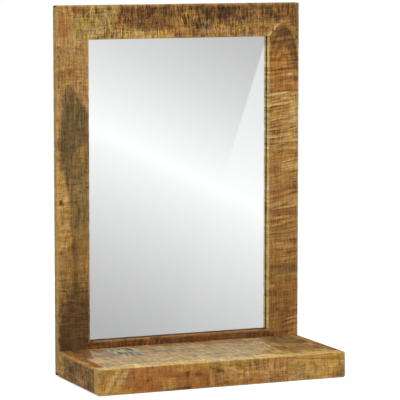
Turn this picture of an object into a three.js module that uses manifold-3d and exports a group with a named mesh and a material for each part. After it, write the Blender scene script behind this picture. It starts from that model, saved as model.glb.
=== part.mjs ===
// A wall mirror with a shelf, in rough-sawn wood. Four mitred boards hold a silvered glass pane in a rabbet,
// and a shelf built up as a hollow box is screwed to the lower part of that frame from behind. It hangs on
// two keyhole plates, or stands on its flat base.
//
// Millimetres, +Z up. The mirror faces -Y, the wall is on the +Y side, and the origin is the middle of the
// base of the whole object.

import * as THREE from 'three';
import { mergeVertices } from 'three/addons/utils/BufferGeometryUtils.js';
import Module from 'manifold-3d';

// ---- driving dimensions ----

const WIDTH = 500;
const HEIGHT = 700;
const DEPTH = 230;

const BOARD = 20; // thickness of the solid wood boards, in the frame and in the shelf
const FRAME_FACE = 65; // width of a frame board, seen from the front
const SHELF_HEIGHT = 50;
const FIT = 0.3; // space left between two pieces that touch

const FRAME_CORNER = 4; // radius of the frame's outline at its corners
const FRAME_EASE = 2.5; // how far the frame's arrises are sanded off
const SHELF_CORNER = 5;
const SHELF_EASE = 3;
const INNER_EASE = 1.5; // the arris round the glass
const EASE_STEPS = 3;

const LIP = 8.7; // wood in front of the glass
const GLASS = 4;
const GLASS_RABBET = 9; // how far the glass rabbet reaches behind the lip
const PANEL = 3; // thickness of the backing panel
const PANEL_RABBET = 22;
const PANE_SLACK = 1; // room round the glass and round the panel, for the wood to move

const BISCUIT = { length: 44, width: 15, thickness: 4 };
const BISCUIT_IN = 28; // from both outer edges of the frame to the middle of the biscuit
const BISCUIT_FROM_FRONT = 4;

const FRONT_JOINTS = [-30, 130]; // x of the butt joints in the shelf's front, which is three lengths of wood
const TOP_JOINT = 100; // from the frame to the joint between the two top boards
const BOTTOM_BOARD = 10;
const CLEAT_DEPTH = 25;
const DOWEL = { radius: 4, length: 30, inFront: 10 };
const DOWEL_HEIGHTS = [15, 35];

const PLATE = { width: 20, height: 50, thickness: 2 };
const PLATE_MIDDLE = 612; // height of the keyhole plates' middle above the base
const KEYHOLE = { radius: 5.5, slotWidth: 5.4, low: 605, high: 617 }; // heights of the hole and the slot's end
const HEAD_POCKET = { width: 13, depth: 10, margin: 6.5 }; // room in the wood for the head of a wall screw

const SHELF_SCREW = { shank: 2, head: 4, headDepth: 2.4, length: 40 };
const PLATE_SCREW = { shank: 1.75, head: 3.4, headDepth: 1.6, length: 15 };
const PANEL_SCREW = { shank: 1.5, head: 3, headDepth: 2, length: 13 };
const SCREW_TIP = 3;
const SCREW_SUNK = 0.4; // how far a screw's head lies below the face of the wood
const CLEAT_SCREWS = [-195, -70, 70, 195];
const END_SCREW_HEIGHT = 35;
const PLATE_SCREW_REACH = 20; // from the plate's middle, up and down
const PANEL_SCREWS_UP = [130, 350, 570];
const PANEL_SCREWS_ACROSS = [-100, 100];

// ---- places that follow from them ----

const SIDE = WIDTH / 2;
const BACK = DEPTH / 2;
const SHELF_FRONT = -DEPTH / 2;
const FRAME_FRONT = BACK - BOARD;
const OPENING_SIDE = SIDE - FRAME_FACE;
const GLASS_FRONT = FRAME_FRONT + LIP + FIT;
const PANEL_SEAT = GLASS_FRONT + GLASS;
const PANEL_FRONT = PANEL_SEAT + FIT;
const PANEL_BACK = PANEL_FRONT + PANEL;
const GLASS_MARGIN = GLASS_RABBET - PANE_SLACK; // how far the pane reaches past the opening
const PANEL_MARGIN = PANEL_RABBET - PANE_SLACK;
const PANEL_SCREW_MARGIN = (GLASS_RABBET + PANEL_RABBET) / 2;
const SHELF_BACK = FRAME_FRONT - FIT;
const BOX_FRONT = SHELF_FRONT + BOARD + FIT; // where the boards behind the shelf's front begin
const BOX_SIDE = SIDE - BOARD - FIT; // half the width between the shelf's ends
const TOP_UNDERSIDE = SHELF_HEIGHT - BOARD;
const CLEAT_FRONT = SHELF_BACK - CLEAT_DEPTH;
const CLEAT_MIDDLE = (BOTTOM_BOARD + TOP_UNDERSIDE) / 2;
const PLATE_X = SIDE - (FRAME_FACE - PANEL_RABBET) / 2;
const END_BOARD_MIDDLE = SIDE - BOARD / 2;

const FRAME_WOOD = { color: 0x9c7443, roughness: 0.7, metalness: 0 };
const SHELF_WOOD = { color: 0xa87b42, roughness: 0.6, metalness: 0 };
const INNER_WOOD = { color: 0xc0a070, roughness: 0.8, metalness: 0 };
const HARDBOARD = { color: 0x6b4a2f, roughness: 0.8, metalness: 0 };
const SILVERED_GLASS = { color: 0xe6e8ea, roughness: 0.03, metalness: 1 };
const STEEL = { color: 0xb9bbbd, roughness: 0.35, metalness: 1 };

// ---- solids ----

const wasm = await Module();
wasm.setup();

function solidOf(geometry) {
  const bare = geometry.clone();
  bare.deleteAttribute('normal');
  bare.deleteAttribute('uv');
  const merged = mergeVertices(bare, 1e-4);
  const vertProperties = new Float32Array(merged.attributes.position.array);
  const triVerts = new Uint32Array(merged.index.array);
  return new wasm.Manifold(new wasm.Mesh({ numProp: 3, vertProperties, triVerts }));
}

function geometryOf(solid) {
  const mesh = solid.getMesh();
  const geometry = new THREE.BufferGeometry();
  geometry.setAttribute('position', new THREE.BufferAttribute(mesh.vertProperties, 3));
  geometry.setIndex(new THREE.BufferAttribute(mesh.triVerts, 1));
  geometry.computeVertexNormals();
  return geometry;
}

function cutAll(solid, tools) {
  return tools.reduce((rest, tool) => rest.subtract(tool), solid);
}

// A box given by its lowest and highest corner.
function block([x0, y0, z0], [x1, y1, z1]) {
  const box = new THREE.BoxGeometry(x1 - x0, y1 - y0, z1 - z0);
  return solidOf(box.translate((x0 + x1) / 2, (y0 + y1) / 2, (z0 + z1) / 2));
}

// A rectangle with round corners, drawn in x and z.
function roundedRectangle([x0, z0], [x1, z1], radius) {
  const quarter = Math.PI / 2;
  const shape = new THREE.Shape();
  shape.absarc(x1 - radius, z0 + radius, radius, -quarter, 0);
  shape.absarc(x1 - radius, z1 - radius, radius, 0, quarter);
  shape.absarc(x0 + radius, z1 - radius, radius, quarter, 2 * quarter);
  shape.absarc(x0 + radius, z0 + radius, radius, 2 * quarter, 3 * quarter);
  return shape;
}

// A shape drawn in x and z, made thick from y0 back to y1.
function thicken(shape, y0, y1, curveSegments = 4) {
  const geometry = new THREE.ExtrudeGeometry(shape, { depth: y1 - y0, bevelEnabled: false, curveSegments });
  return geometry.rotateX(Math.PI / 2).translate(0, y1, 0);
}

// A block with round corners in the front view, its arrises sanded off all round.
function easedBlock([x0, y0, z0], [x1, y1, z1], corner, ease) {
  const inside = roundedRectangle([x0 + ease, z0 + ease], [x1 - ease, z1 - ease], corner - ease);
  const geometry = new THREE.ExtrudeGeometry(inside, {
    depth: y1 - y0 - 2 * ease,
    bevelEnabled: true,
    bevelThickness: ease,
    bevelSize: ease,
    bevelSegments: EASE_STEPS,
    curveSegments: EASE_STEPS,
  });
  return solidOf(geometry.rotateX(Math.PI / 2).translate(0, y1 - ease, 0));
}

// A round body on an axis along Y through the origin, from [radius, y] pairs in rising y.
function turned(profile, sides = 12) {
  const points = profile.map(([radius, y]) => new THREE.Vector2(radius, y));
  return new THREE.LatheGeometry(points, sides);
}

// ---- screws and their holes: each is driven towards -Y, with the back of its head at y = 0 ----

function crossRecess({ head, headDepth }) {
  const arm = head * 0.6;
  const slot = head * 0.13;
  const depth = headDepth * 0.6;
  const upright = block([-slot, -depth, -arm], [slot, 1, arm]);
  return upright.add(block([-arm, -depth, -slot], [arm, 1, slot]));
}

function countersunkScrew(screw) {
  const { shank, head, headDepth, length } = screw;
  const profile = [[0, -length], [shank, SCREW_TIP - length], [shank, -headDepth], [head, 0], [0, 0]];
  return geometryOf(solidOf(turned(profile)).subtract(crossRecess(screw)));
}

function panHeadScrew(screw) {
  const { shank, head, headDepth, length } = screw;
  const crown = headDepth / 3;
  const profile = [
    [0, -length],
    [shank, SCREW_TIP - length],
    [shank, -headDepth],
    [head, -headDepth],
    [head, -crown],
    [head - crown, 0],
    [0, 0],
  ];
  return geometryOf(solidOf(turned(profile)).subtract(crossRecess(screw)));
}

// The space that a countersunk screw needs, open towards +Y.
function sunkHole({ shank, head, headDepth, length }, x, y, z) {
  const wide = shank + FIT;
  const wideHead = head + FIT;
  const profile = [[0, -length - FIT], [wide, -length - FIT], [wide, -headDepth - FIT], [wideHead, -FIT]];
  return solidOf(turned([...profile, [wideHead, 2], [0, 2]]).translate(x, y, z));
}

// A plain round hole from y0 to y1.
function roundHole(radius, x, z, y0, y1) {
  return solidOf(turned([[0, y0], [radius, y0], [radius, y1], [0, y1]]).translate(x, 0, z));
}

const SCREW_BACK = BACK - SCREW_SUNK;
const shelfScrewPlaces = [
  ...CLEAT_SCREWS.map((x) => [x, SCREW_BACK, CLEAT_MIDDLE]),
  [-END_BOARD_MIDDLE, SCREW_BACK, END_SCREW_HEIGHT],
  [END_BOARD_MIDDLE, SCREW_BACK, END_SCREW_HEIGHT],
];
const shelfScrewHoles = shelfScrewPlaces.map((place) => sunkHole(SHELF_SCREW, ...place));

const plateScrewPlaces = [-1, 1].flatMap((side) =>
  [-1, 1].map((end) => [side * PLATE_X, SCREW_BACK, PLATE_MIDDLE + end * PLATE_SCREW_REACH]),
);
const plateScrewHoles = plateScrewPlaces.map((place) => sunkHole(PLATE_SCREW, ...place));

const panelScrewBack = PANEL_BACK + FIT + PANEL_SCREW.headDepth;
const panelScrewX = OPENING_SIDE + PANEL_SCREW_MARGIN;
const panelScrewPlaces = [
  ...PANEL_SCREWS_UP.flatMap((z) => [[-panelScrewX, panelScrewBack, z], [panelScrewX, panelScrewBack, z]]),
  ...PANEL_SCREWS_ACROSS.map((x) => [x, panelScrewBack, FRAME_FACE - PANEL_SCREW_MARGIN]),
  ...PANEL_SCREWS_ACROSS.map((x) => [x, panelScrewBack, HEIGHT - FRAME_FACE + PANEL_SCREW_MARGIN]),
];
const panelScrewEnd = panelScrewBack - PANEL_SCREW.length - FIT;
const panelScrewHoles = panelScrewPlaces.map(([x, , z]) =>
  roundHole(PANEL_SCREW.shank + FIT, x, z, panelScrewEnd, PANEL_BACK + 1),
);

// ---- the corner biscuits, flat keys glued into slots across each mitre ----

function biscuitGeometry(grow) {
  const half = BISCUIT.length / 2 + grow;
  const bulge = BISCUIT.width + 2 * grow; // a quadratic arc reaches half way to its control point
  const shape = new THREE.Shape();
  shape.moveTo(-half, 0);
  shape.quadraticCurveTo(0, -bulge, half, 0);
  shape.quadraticCurveTo(0, bulge, -half, 0);
  const front = FRAME_FRONT + BISCUIT_FROM_FRONT;
  return thicken(shape, front - grow, front + BISCUIT.thickness + grow);
}

// The middle of each biscuit, and the turn about Y that lays it along its mitre.
const corners = [
  { name: 'top_left', side: -1, height: HEIGHT - BISCUIT_IN, turn: Math.PI / 4 },
  { name: 'top_right', side: 1, height: HEIGHT - BISCUIT_IN, turn: -Math.PI / 4 },
  { name: 'bottom_left', side: -1, height: BISCUIT_IN, turn: -Math.PI / 4 },
  { name: 'bottom_right', side: 1, height: BISCUIT_IN, turn: Math.PI / 4 },
];
const biscuitSlots = corners.map(({ side, height, turn }) =>
  solidOf(biscuitGeometry(FIT).rotateY(turn).translate(side * (SIDE - BISCUIT_IN), 0, height)),
);

// ---- the keyhole plates, and the pockets for them in the frame's upright boards ----

function platePocket(side) {
  const x = side * PLATE_X;
  const halfWidth = PLATE.width / 2 + FIT;
  const halfHeight = PLATE.height / 2 + FIT;
  const outline = roundedRectangle(
    [x - halfWidth, PLATE_MIDDLE - halfHeight],
    [x + halfWidth, PLATE_MIDDLE + halfHeight],
    halfWidth - FIT,
  );
  const shallow = solidOf(thicken(outline, BACK - PLATE.thickness - FIT, BACK + 1));
  const deep = block(
    [x - HEAD_POCKET.width / 2, BACK - HEAD_POCKET.depth, KEYHOLE.low - HEAD_POCKET.margin],
    [x + HEAD_POCKET.width / 2, BACK - PLATE.thickness, KEYHOLE.high + HEAD_POCKET.margin],
  );
  return shallow.add(deep);
}

// A plate with round ends, drawn about its own middle, its back face at y = 0.
function platePiece() {
  const halfWidth = PLATE.width / 2;
  const halfHeight = PLATE.height / 2;
  const outline = roundedRectangle([-halfWidth, -halfHeight], [halfWidth, halfHeight], halfWidth - 0.5);
  const low = KEYHOLE.low - PLATE_MIDDLE;
  const high = KEYHOLE.high - PLATE_MIDDLE;
  const slot = KEYHOLE.slotWidth / 2;
  const through = [-PLATE.thickness - 1, 1];
  const hole = roundHole(KEYHOLE.radius, 0, low, ...through);
  const channel = block([-slot, through[0], low], [slot, through[1], high]);
  const slotEnd = roundHole(slot, 0, high, ...through);
  const screwHoles = [-1, 1].map((end) => sunkHole(PLATE_SCREW, 0, -SCREW_SUNK, end * PLATE_SCREW_REACH));
  const sheet = solidOf(thicken(outline, -PLATE.thickness, 0));
  return geometryOf(cutAll(sheet, [hole.add(channel).add(slotEnd), ...screwHoles]));
}

// ---- the frame's boards ----

// The end of a board seen from its own length: x runs in from the outer edge, y back from the front face.
function frameSection() {
  const glassStep = FRAME_FACE - GLASS_RABBET;
  const panelStep = FRAME_FACE - PANEL_RABBET;
  const seat = PANEL_SEAT - FRAME_FRONT;
  const shape = new THREE.Shape();
  shape.moveTo(0, BOARD);
  shape.lineTo(0, 0);
  shape.absarc(FRAME_FACE - INNER_EASE, INNER_EASE, INNER_EASE, -Math.PI / 2, 0);
  shape.lineTo(FRAME_FACE, LIP);
  shape.lineTo(glassStep, LIP);
  shape.lineTo(glassStep, seat);
  shape.lineTo(panelStep, seat);
  shape.lineTo(panelStep, BOARD);
  return shape;
}

// A wedge that keeps only what lies between the two mitres of a board of this length.
function mitreWedge(length) {
  const over = 1;
  const halfAt = (inward) => length / 2 - inward - FIT * Math.SQRT1_2;
  const shape = new THREE.Shape();
  shape.moveTo(-over, -halfAt(-over));
  shape.lineTo(FRAME_FACE + over, -halfAt(FRAME_FACE + over));
  shape.lineTo(FRAME_FACE + over, halfAt(FRAME_FACE + over));
  shape.lineTo(-over, halfAt(-over));
  return thicken(shape, -over, BOARD + over);
}

const frameOutline = easedBlock([-SIDE, FRAME_FRONT, 0], [SIDE, BACK, HEIGHT], FRAME_CORNER, FRAME_EASE);
const frameCuts = [
  ...biscuitSlots,
  ...shelfScrewHoles,
  ...plateScrewHoles,
  ...panelScrewHoles,
  platePocket(-1),
  platePocket(1),
];

// A board whose outer edge starts at outerEdge and whose face runs inward from there.
function frameBoard(length, outerEdge, inward) {
  const back = new THREE.Vector3(0, 1, 0);
  const along = new THREE.Vector3().crossVectors(inward, back);
  const place = new THREE.Matrix4().makeBasis(inward, back, along).setPosition(outerEdge);
  const options = { depth: length, bevelEnabled: false, curveSegments: 2 };
  const blank = new THREE.ExtrudeGeometry(frameSection(), options).translate(0, 0, -length / 2);
  const wedge = solidOf(mitreWedge(length).applyMatrix4(place));
  const board = solidOf(blank.applyMatrix4(place)).intersect(wedge).intersect(frameOutline);
  return geometryOf(cutAll(board, frameCuts));
}

// ---- the shelf's boards, all cut to one eased outline ----

const shelfOutline = easedBlock(
  [-SIDE, SHELF_FRONT, 0],
  [SIDE, BACK, SHELF_HEIGHT],
  SHELF_CORNER,
  SHELF_EASE,
);

const dowelPlaces = [-1, 1].flatMap((side) => DOWEL_HEIGHTS.map((z) => [side * END_BOARD_MIDDLE, z]));
const DOWEL_FRONT = SHELF_FRONT + BOARD - DOWEL.inFront;
const dowelHoles = dowelPlaces.map(([x, z]) =>
  roundHole(DOWEL.radius + FIT, x, z, DOWEL_FRONT - FIT, DOWEL_FRONT + DOWEL.length + FIT),
);

function shelfBoard(low, high) {
  const board = block(low, high).intersect(shelfOutline);
  return geometryOf(cutAll(board, [...dowelHoles, ...shelfScrewHoles]));
}

// ---- the assembly ----

function piece(group, name, geometry, look, position = [0, 0, 0]) {
  const mesh = new THREE.Mesh(geometry, new THREE.MeshStandardMaterial(look));
  mesh.name = name;
  mesh.position.set(...position);
  group.add(mesh);
}

function buildFrame() {
  const frame = new THREE.Group();
  const up = new THREE.Vector3(0, 0, 1);
  const right = new THREE.Vector3(1, 0, 0);
  const down = up.clone().negate();
  const left = right.clone().negate();
  const at = (x, z) => new THREE.Vector3(x, FRAME_FRONT, z);
  piece(frame, 'frame_left_stile', frameBoard(HEIGHT, at(-SIDE, HEIGHT / 2), right), FRAME_WOOD);
  piece(frame, 'frame_right_stile', frameBoard(HEIGHT, at(SIDE, HEIGHT / 2), left), FRAME_WOOD);
  piece(frame, 'frame_top_rail', frameBoard(WIDTH, at(0, HEIGHT), down), FRAME_WOOD);
  piece(frame, 'frame_bottom_rail', frameBoard(WIDTH, at(0, 0), up), FRAME_WOOD);
  corners.forEach(({ name, side, height, turn }) => {
    const biscuit = biscuitGeometry(0).rotateY(turn);
    piece(frame, `corner_biscuit_${name}`, biscuit, INNER_WOOD, [side * (SIDE - BISCUIT_IN), 0, height]);
  });
  return frame;
}

function buildMirror() {
  const mirror = new THREE.Group();
  const paneSide = OPENING_SIDE + GLASS_MARGIN;
  const pane = block(
    [-paneSide, GLASS_FRONT, FRAME_FACE - GLASS_MARGIN],
    [paneSide, GLASS_FRONT + GLASS, HEIGHT - FRAME_FACE + GLASS_MARGIN],
  );
  const panelSide = OPENING_SIDE + PANEL_MARGIN;
  const panel = block(
    [-panelSide, PANEL_FRONT, FRAME_FACE - PANEL_MARGIN],
    [panelSide, PANEL_BACK, HEIGHT - FRAME_FACE + PANEL_MARGIN],
  );
  piece(mirror, 'mirror_pane', geometryOf(pane), SILVERED_GLASS);
  piece(mirror, 'backing_panel', geometryOf(cutAll(panel, panelScrewHoles)), HARDBOARD);
  panelScrewPlaces.forEach((place, index) => {
    piece(mirror, `panel_screw_${index + 1}`, panHeadScrew(PANEL_SCREW), STEEL, place);
  });
  return mirror;
}

function buildShelf() {
  const shelf = new THREE.Group();
  const frontBack = SHELF_FRONT + BOARD;
  const ends = [-SIDE, ...FRONT_JOINTS, SIDE];
  ['left', 'middle', 'right'].forEach((name, index) => {
    const from = ends[index] + (index > 0 ? FIT / 2 : 0);
    const to = ends[index + 1] - (index < 2 ? FIT / 2 : 0);
    const board = shelfBoard([from, SHELF_FRONT, 0], [to, frontBack, SHELF_HEIGHT]);
    piece(shelf, `shelf_front_${name}`, board, SHELF_WOOD);
  });
  const endInside = SIDE - BOARD;
  const leftEnd = shelfBoard([-SIDE, BOX_FRONT, 0], [-endInside, SHELF_BACK, SHELF_HEIGHT]);
  const rightEnd = shelfBoard([endInside, BOX_FRONT, 0], [SIDE, SHELF_BACK, SHELF_HEIGHT]);
  piece(shelf, 'shelf_left_end', leftEnd, SHELF_WOOD);
  piece(shelf, 'shelf_right_end', rightEnd, SHELF_WOOD);

  const joint = FRAME_FRONT - TOP_JOINT;
  const topFront = shelfBoard([-BOX_SIDE, BOX_FRONT, TOP_UNDERSIDE], [BOX_SIDE, joint - FIT / 2, SHELF_HEIGHT]);
  const topRear = shelfBoard([-BOX_SIDE, joint + FIT / 2, TOP_UNDERSIDE], [BOX_SIDE, SHELF_BACK, SHELF_HEIGHT]);
  piece(shelf, 'shelf_top_front_board', topFront, SHELF_WOOD);
  piece(shelf, 'shelf_top_rear_board', topRear, SHELF_WOOD);

  const bottom = shelfBoard([-BOX_SIDE, BOX_FRONT, 0], [BOX_SIDE, SHELF_BACK, BOTTOM_BOARD]);
  piece(shelf, 'shelf_bottom_board', bottom, SHELF_WOOD);

  const low = BOTTOM_BOARD + FIT;
  const high = TOP_UNDERSIDE - FIT;
  const cleat = shelfBoard([-BOX_SIDE, CLEAT_FRONT, low], [BOX_SIDE, SHELF_BACK, high]);
  const rib = shelfBoard([-BOARD / 2, BOX_FRONT, low], [BOARD / 2, CLEAT_FRONT - FIT, high]);
  piece(shelf, 'shelf_cleat', cleat, INNER_WOOD);
  piece(shelf, 'shelf_rib', rib, INNER_WOOD);

  const { radius, length } = DOWEL;
  const dowel = turned([[0, 0], [radius - 1, 0], [radius, 1], [radius, length - 1], [radius - 1, length], [0, length]]);
  dowelPlaces.forEach(([x, z], index) => {
    piece(shelf, `shelf_dowel_${index + 1}`, dowel, INNER_WOOD, [x, DOWEL_FRONT, z]);
  });
  return shelf;
}

function buildFixings() {
  const fixings = new THREE.Group();
  shelfScrewPlaces.forEach((place, index) => {
    piece(fixings, `shelf_screw_${index + 1}`, countersunkScrew(SHELF_SCREW), STEEL, place);
  });
  piece(fixings, 'keyhole_plate_left', platePiece(), STEEL, [-PLATE_X, BACK, PLATE_MIDDLE]);
  piece(fixings, 'keyhole_plate_right', platePiece(), STEEL, [PLATE_X, BACK, PLATE_MIDDLE]);
  plateScrewPlaces.forEach((place, index) => {
    piece(fixings, `plate_screw_${index + 1}`, countersunkScrew(PLATE_SCREW), STEEL, place);
  });
  return fixings;
}

const object = new THREE.Group();
object.add(buildFrame(), buildMirror(), buildShelf(), buildFixings());

export default object;
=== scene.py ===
# %% [markdown]
# # A wall mirror with a shelf, in rough-sawn wood
#
# Four mitred boards hold a silvered glass, and a deep hollow shelf of the same wood stands in front of the
# frame's foot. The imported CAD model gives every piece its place. This lesson keeps what is already right in
# it, such as the screws and the keyhole plates, and builds the wood again with the small faults that a saw
# and a sander leave, because a perfectly flat board never looks like wood.

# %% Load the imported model
import math

import bpy
import bmesh
from mathutils import Matrix, Vector, noise


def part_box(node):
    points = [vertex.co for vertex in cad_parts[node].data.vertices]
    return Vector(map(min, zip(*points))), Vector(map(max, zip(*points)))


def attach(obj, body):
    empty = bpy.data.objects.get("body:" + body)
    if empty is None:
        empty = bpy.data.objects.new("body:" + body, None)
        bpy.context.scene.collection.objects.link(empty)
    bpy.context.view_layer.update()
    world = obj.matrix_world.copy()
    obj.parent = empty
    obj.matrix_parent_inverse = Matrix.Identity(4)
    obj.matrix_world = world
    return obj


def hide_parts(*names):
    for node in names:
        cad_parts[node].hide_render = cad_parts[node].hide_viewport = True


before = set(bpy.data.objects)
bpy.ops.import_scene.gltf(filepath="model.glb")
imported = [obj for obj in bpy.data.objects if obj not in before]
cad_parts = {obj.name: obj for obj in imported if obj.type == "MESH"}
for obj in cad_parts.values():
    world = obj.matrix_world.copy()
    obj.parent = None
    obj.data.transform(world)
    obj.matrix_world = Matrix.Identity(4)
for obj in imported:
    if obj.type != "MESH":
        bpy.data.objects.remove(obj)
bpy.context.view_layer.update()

scene = bpy.context.scene

# %% [markdown]
# ## The camera
#
# The mirror is seen a little from its left and from above, through a long lens, so that upright edges stay
# nearly parallel. A lens shift could hold the uprights exactly parallel, but a shift also moves every other
# view of the scene off its middle. A camera that simply looks down a little does the same job here.

# %% Camera
SENSOR_WIDTH = 36
LENS = 221.69
CAMERA_AT = (-1.809, -4.2208, 0.8468)
LOOKING_DOWN = 0.1108
TURNED_RIGHT = 0.4049


def add_object(name, data):
    """A new object of the scene that shows this data."""
    made = bpy.data.objects.new(name, data)
    scene.collection.objects.link(made)
    return made


camera_data = bpy.data.cameras.new("camera")
camera_data.sensor_width = SENSOR_WIDTH
camera_data.lens = LENS
camera = add_object("camera", camera_data)
camera.location = CAMERA_AT
camera.rotation_euler = (math.pi / 2 - LOOKING_DOWN, 0, -TURNED_RIGHT)
scene.camera = camera
scene.view_settings.view_transform = "Standard"
print("camera at", CAMERA_AT, "with a lens of", LENS, "mm")

# %% [markdown]
# ## Shader sums in Python
#
# A finish is a long sum of noises and masks. Drawn by hand that is a maze of nodes, so one small class wraps
# an output socket and lets Python's own operators add the nodes. A sum of plain numbers is a Math node. As
# soon as a colour or a vector takes part it is a Vector Math node, because a Math node would turn it grey.


# %% A socket that can be used in sums
class Wire:
    """One output of a shader node, for use in Python sums."""

    def __init__(self, socket):
        self.socket = socket

    @staticmethod
    def node(tree, kind, settings=None, sockets=None):
        """Adds any node: its settings first, then the values or the wires of its sockets."""
        made = tree.nodes.new(kind)
        for name, value in (settings or {}).items():
            if name == "stops":
                Wire.set_stops(made.color_ramp, value)
            else:
                setattr(made, name, value)
        for name, value in (sockets or {}).items():
            socket = pick(made.inputs, name)
            if isinstance(value, Wire):
                tree.links.new(value.socket, socket)
            else:
                socket.default_value = value
        return Wire(next((out for out in made.outputs if out.enabled), None))

    @staticmethod
    def set_stops(ramp, stops):
        """Gives a colour ramp its (position, colour) stops, in rising order."""
        for element, (position, colour) in zip(ramp.elements, (stops[0], stops[-1])):
            element.position = position
            element.color = colour
        for position, colour in stops[1:-1]:
            ramp.elements.new(position).color = colour

    def out(self, name):
        """Another output of the same node."""
        return Wire(pick(self.socket.node.outputs, name))

    def then(self, kind, settings=None, sockets=None):
        return Wire.node(self.socket.id_data, kind, settings, sockets)

    def sum(self, operation, first, second):
        parts = (first, second)
        if all(is_number(part) for part in parts):
            return self.then("ShaderNodeMath", {"operation": operation}, dict(enumerate(parts)))
        three = [(part,) * 3 if isinstance(part, (int, float)) else part for part in parts]
        return self.then("ShaderNodeVectorMath", {"operation": operation}, dict(enumerate(three)))

    def __add__(self, other):
        return self.sum("ADD", self, other)

    def __radd__(self, other):
        return self.sum("ADD", other, self)

    def __sub__(self, other):
        return self.sum("SUBTRACT", self, other)

    def __rsub__(self, other):
        return self.sum("SUBTRACT", other, self)

    def __mul__(self, other):
        return self.sum("MULTIPLY", self, other)

    def __rmul__(self, other):
        return self.sum("MULTIPLY", other, self)

    def smooth(self, low, high, top=1):
        """0 on the low side, top on the high side, and an even curve between. Low may be above high."""
        return self.then(
            "ShaderNodeMapRange",
            {"interpolation_type": "SMOOTHSTEP"},
            {"Value": self, "From Min": low, "From Max": high, "To Min": 0, "To Max": top},
        )

    def clamp(self):
        return self.then("ShaderNodeClamp", None, {"Value": self})

    def largest(self, other):
        return self.sum("MAXIMUM", self, other)

    def dot(self, direction):
        """How far a place lies along a direction."""
        settings = {"operation": "DOT_PRODUCT"}
        return self.then("ShaderNodeVectorMath", settings, {0: self, 1: direction}).out("Value")

    def length(self):
        return self.then("ShaderNodeVectorMath", {"operation": "LENGTH"}, {0: self}).out("Value")

    def sine(self):
        return self.then("ShaderNodeMath", {"operation": "SINE"}, {0: self})

    def split(self):
        """The node whose outputs X, Y and Z are the parts of a vector."""
        return self.then("ShaderNodeSeparateXYZ", None, {"Vector": self})

    def noise(self, scale, detail, roughness=0.5):
        """Cloudy noise round 0.5, with this many cells to one unit of a place."""
        sockets = {"Vector": self, "Scale": scale, "Detail": detail, "Roughness": roughness}
        return self.then("ShaderNodeTexNoise", None, sockets)

    def bump(self, strength, distance):
        """The normal of a surface that has this height."""
        return self.then("ShaderNodeBump", None, {"Strength": strength, "Distance": distance, "Height": self})

    def between(self, first, second):
        """Mixes two colours, with this value as the share of the second."""
        return self.then("ShaderNodeMix", {"data_type": "RGBA"}, {"Factor": self, "A": first, "B": second})


def pick(sockets, name):
    """The socket in use with this name or number. Some nodes hide others of the same name."""
    if isinstance(name, int):
        return sockets[name]
    return next(socket for socket in sockets if socket.enabled and socket.name == name)


def is_number(part):
    """True for a plain number and for a wire that carries one."""
    return isinstance(part, (int, float)) or (isinstance(part, Wire) and part.socket.type == "VALUE")


print("sums on sockets ready")


# %% Colours and new materials
def paint(code):
    """A colour written as six hex digits, as the linear light that shaders work in."""
    levels = [int(code[start : start + 2], 16) / 255 for start in (0, 2, 4)]
    linear = [level / 12.92 if level <= 0.04045 else ((level + 0.055) / 1.055) ** 2.4 for level in levels]
    return (*linear, 1.0)


def grey(level):
    return (level, level, level, 1)


def new_tree(name):
    """A material with an empty node tree."""
    material = bpy.data.materials.new(name)
    material.use_nodes = True
    material.node_tree.nodes.clear()
    return material, material.node_tree


def place_on(tree):
    """The place of a point on the object, in metres."""
    return Wire.node(tree, "ShaderNodeTexCoord").out("Object")


def finish_with(tree, surface):
    Wire.node(tree, "ShaderNodeOutputMaterial", None, {"Surface": surface})


def finish_principled(tree, sockets):
    """Closes a material with a Principled shader that has these values or wires."""
    finish_with(tree, Wire.node(tree, "ShaderNodeBsdfPrincipled", None, sockets))


print("middle grey as linear light is", round(paint("808080")[0], 3))

# %% [markdown]
# ## The room: sky and lamps
#
# The object stands in plain soft light. The sky is white where the camera or a reflection looks at it, and
# dimmer as a lamp, so that the wood's colours come out as they are written. One broad lamp in front gives
# the faces a direction, one overhead lights the shelf, and a weak one fills in from the left. A sun lamp
# would be simpler, but its hard shadows aren't those of a studio.

# %% Sky
SKY_LEVEL = 0.58
world = bpy.data.worlds.new("sky")
scene.world = world
world.use_nodes = True
sky_tree = world.node_tree
sky_tree.nodes.clear()
ray = Wire.node(sky_tree, "ShaderNodeLightPath")
looked_at = (ray.out("Is Camera Ray") + ray.out("Is Glossy Ray") + ray.out("Is Transmission Ray")).clamp()
sky = Wire.node(
    sky_tree,
    "ShaderNodeBackground",
    None,
    {"Color": grey(1), "Strength": SKY_LEVEL + looked_at * (1 - SKY_LEVEL)},
)
Wire.node(sky_tree, "ShaderNodeOutputWorld", None, {"Surface": sky})
print("sky lights the object at", SKY_LEVEL)


# %% Lamps
def softbox(name, at, aimed_at, size, watts):
    """A square area lamp that lights the object but isn't seen in the mirror."""
    data = bpy.data.lights.new(name, "AREA")
    data.size = size
    data.energy = watts
    lamp = add_object(name, data)
    lamp.location = at
    lamp.rotation_euler = (Vector(aimed_at) - Vector(at)).to_track_quat("-Z", "Y").to_euler()
    lamp.visible_camera = False
    lamp.visible_glossy = False
    lamp.visible_transmission = False


LAMPS_AIM_AT = (0, 0, 0.3)
softbox("front_softbox", (-0.9, -2.6, 2.0), LAMPS_AIM_AT, 1.8, 43)
softbox("top_softbox", (0.2, -0.6, 2.4), LAMPS_AIM_AT, 1.2, 16)
softbox("left_softbox", (-2.6, -0.6, 1.1), LAMPS_AIM_AT, 1.4, 4)


# %% Flat stage pieces
def stage_sheet(name, corners, material):
    """A flat sheet of the room, which isn't part of the object."""
    mesh = bpy.data.meshes.new(name)
    mesh.from_pydata(corners, [], [(0, 1, 2, 3)])
    mesh.materials.append(material)
    sheet = add_object(name, mesh)
    return sheet


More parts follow.
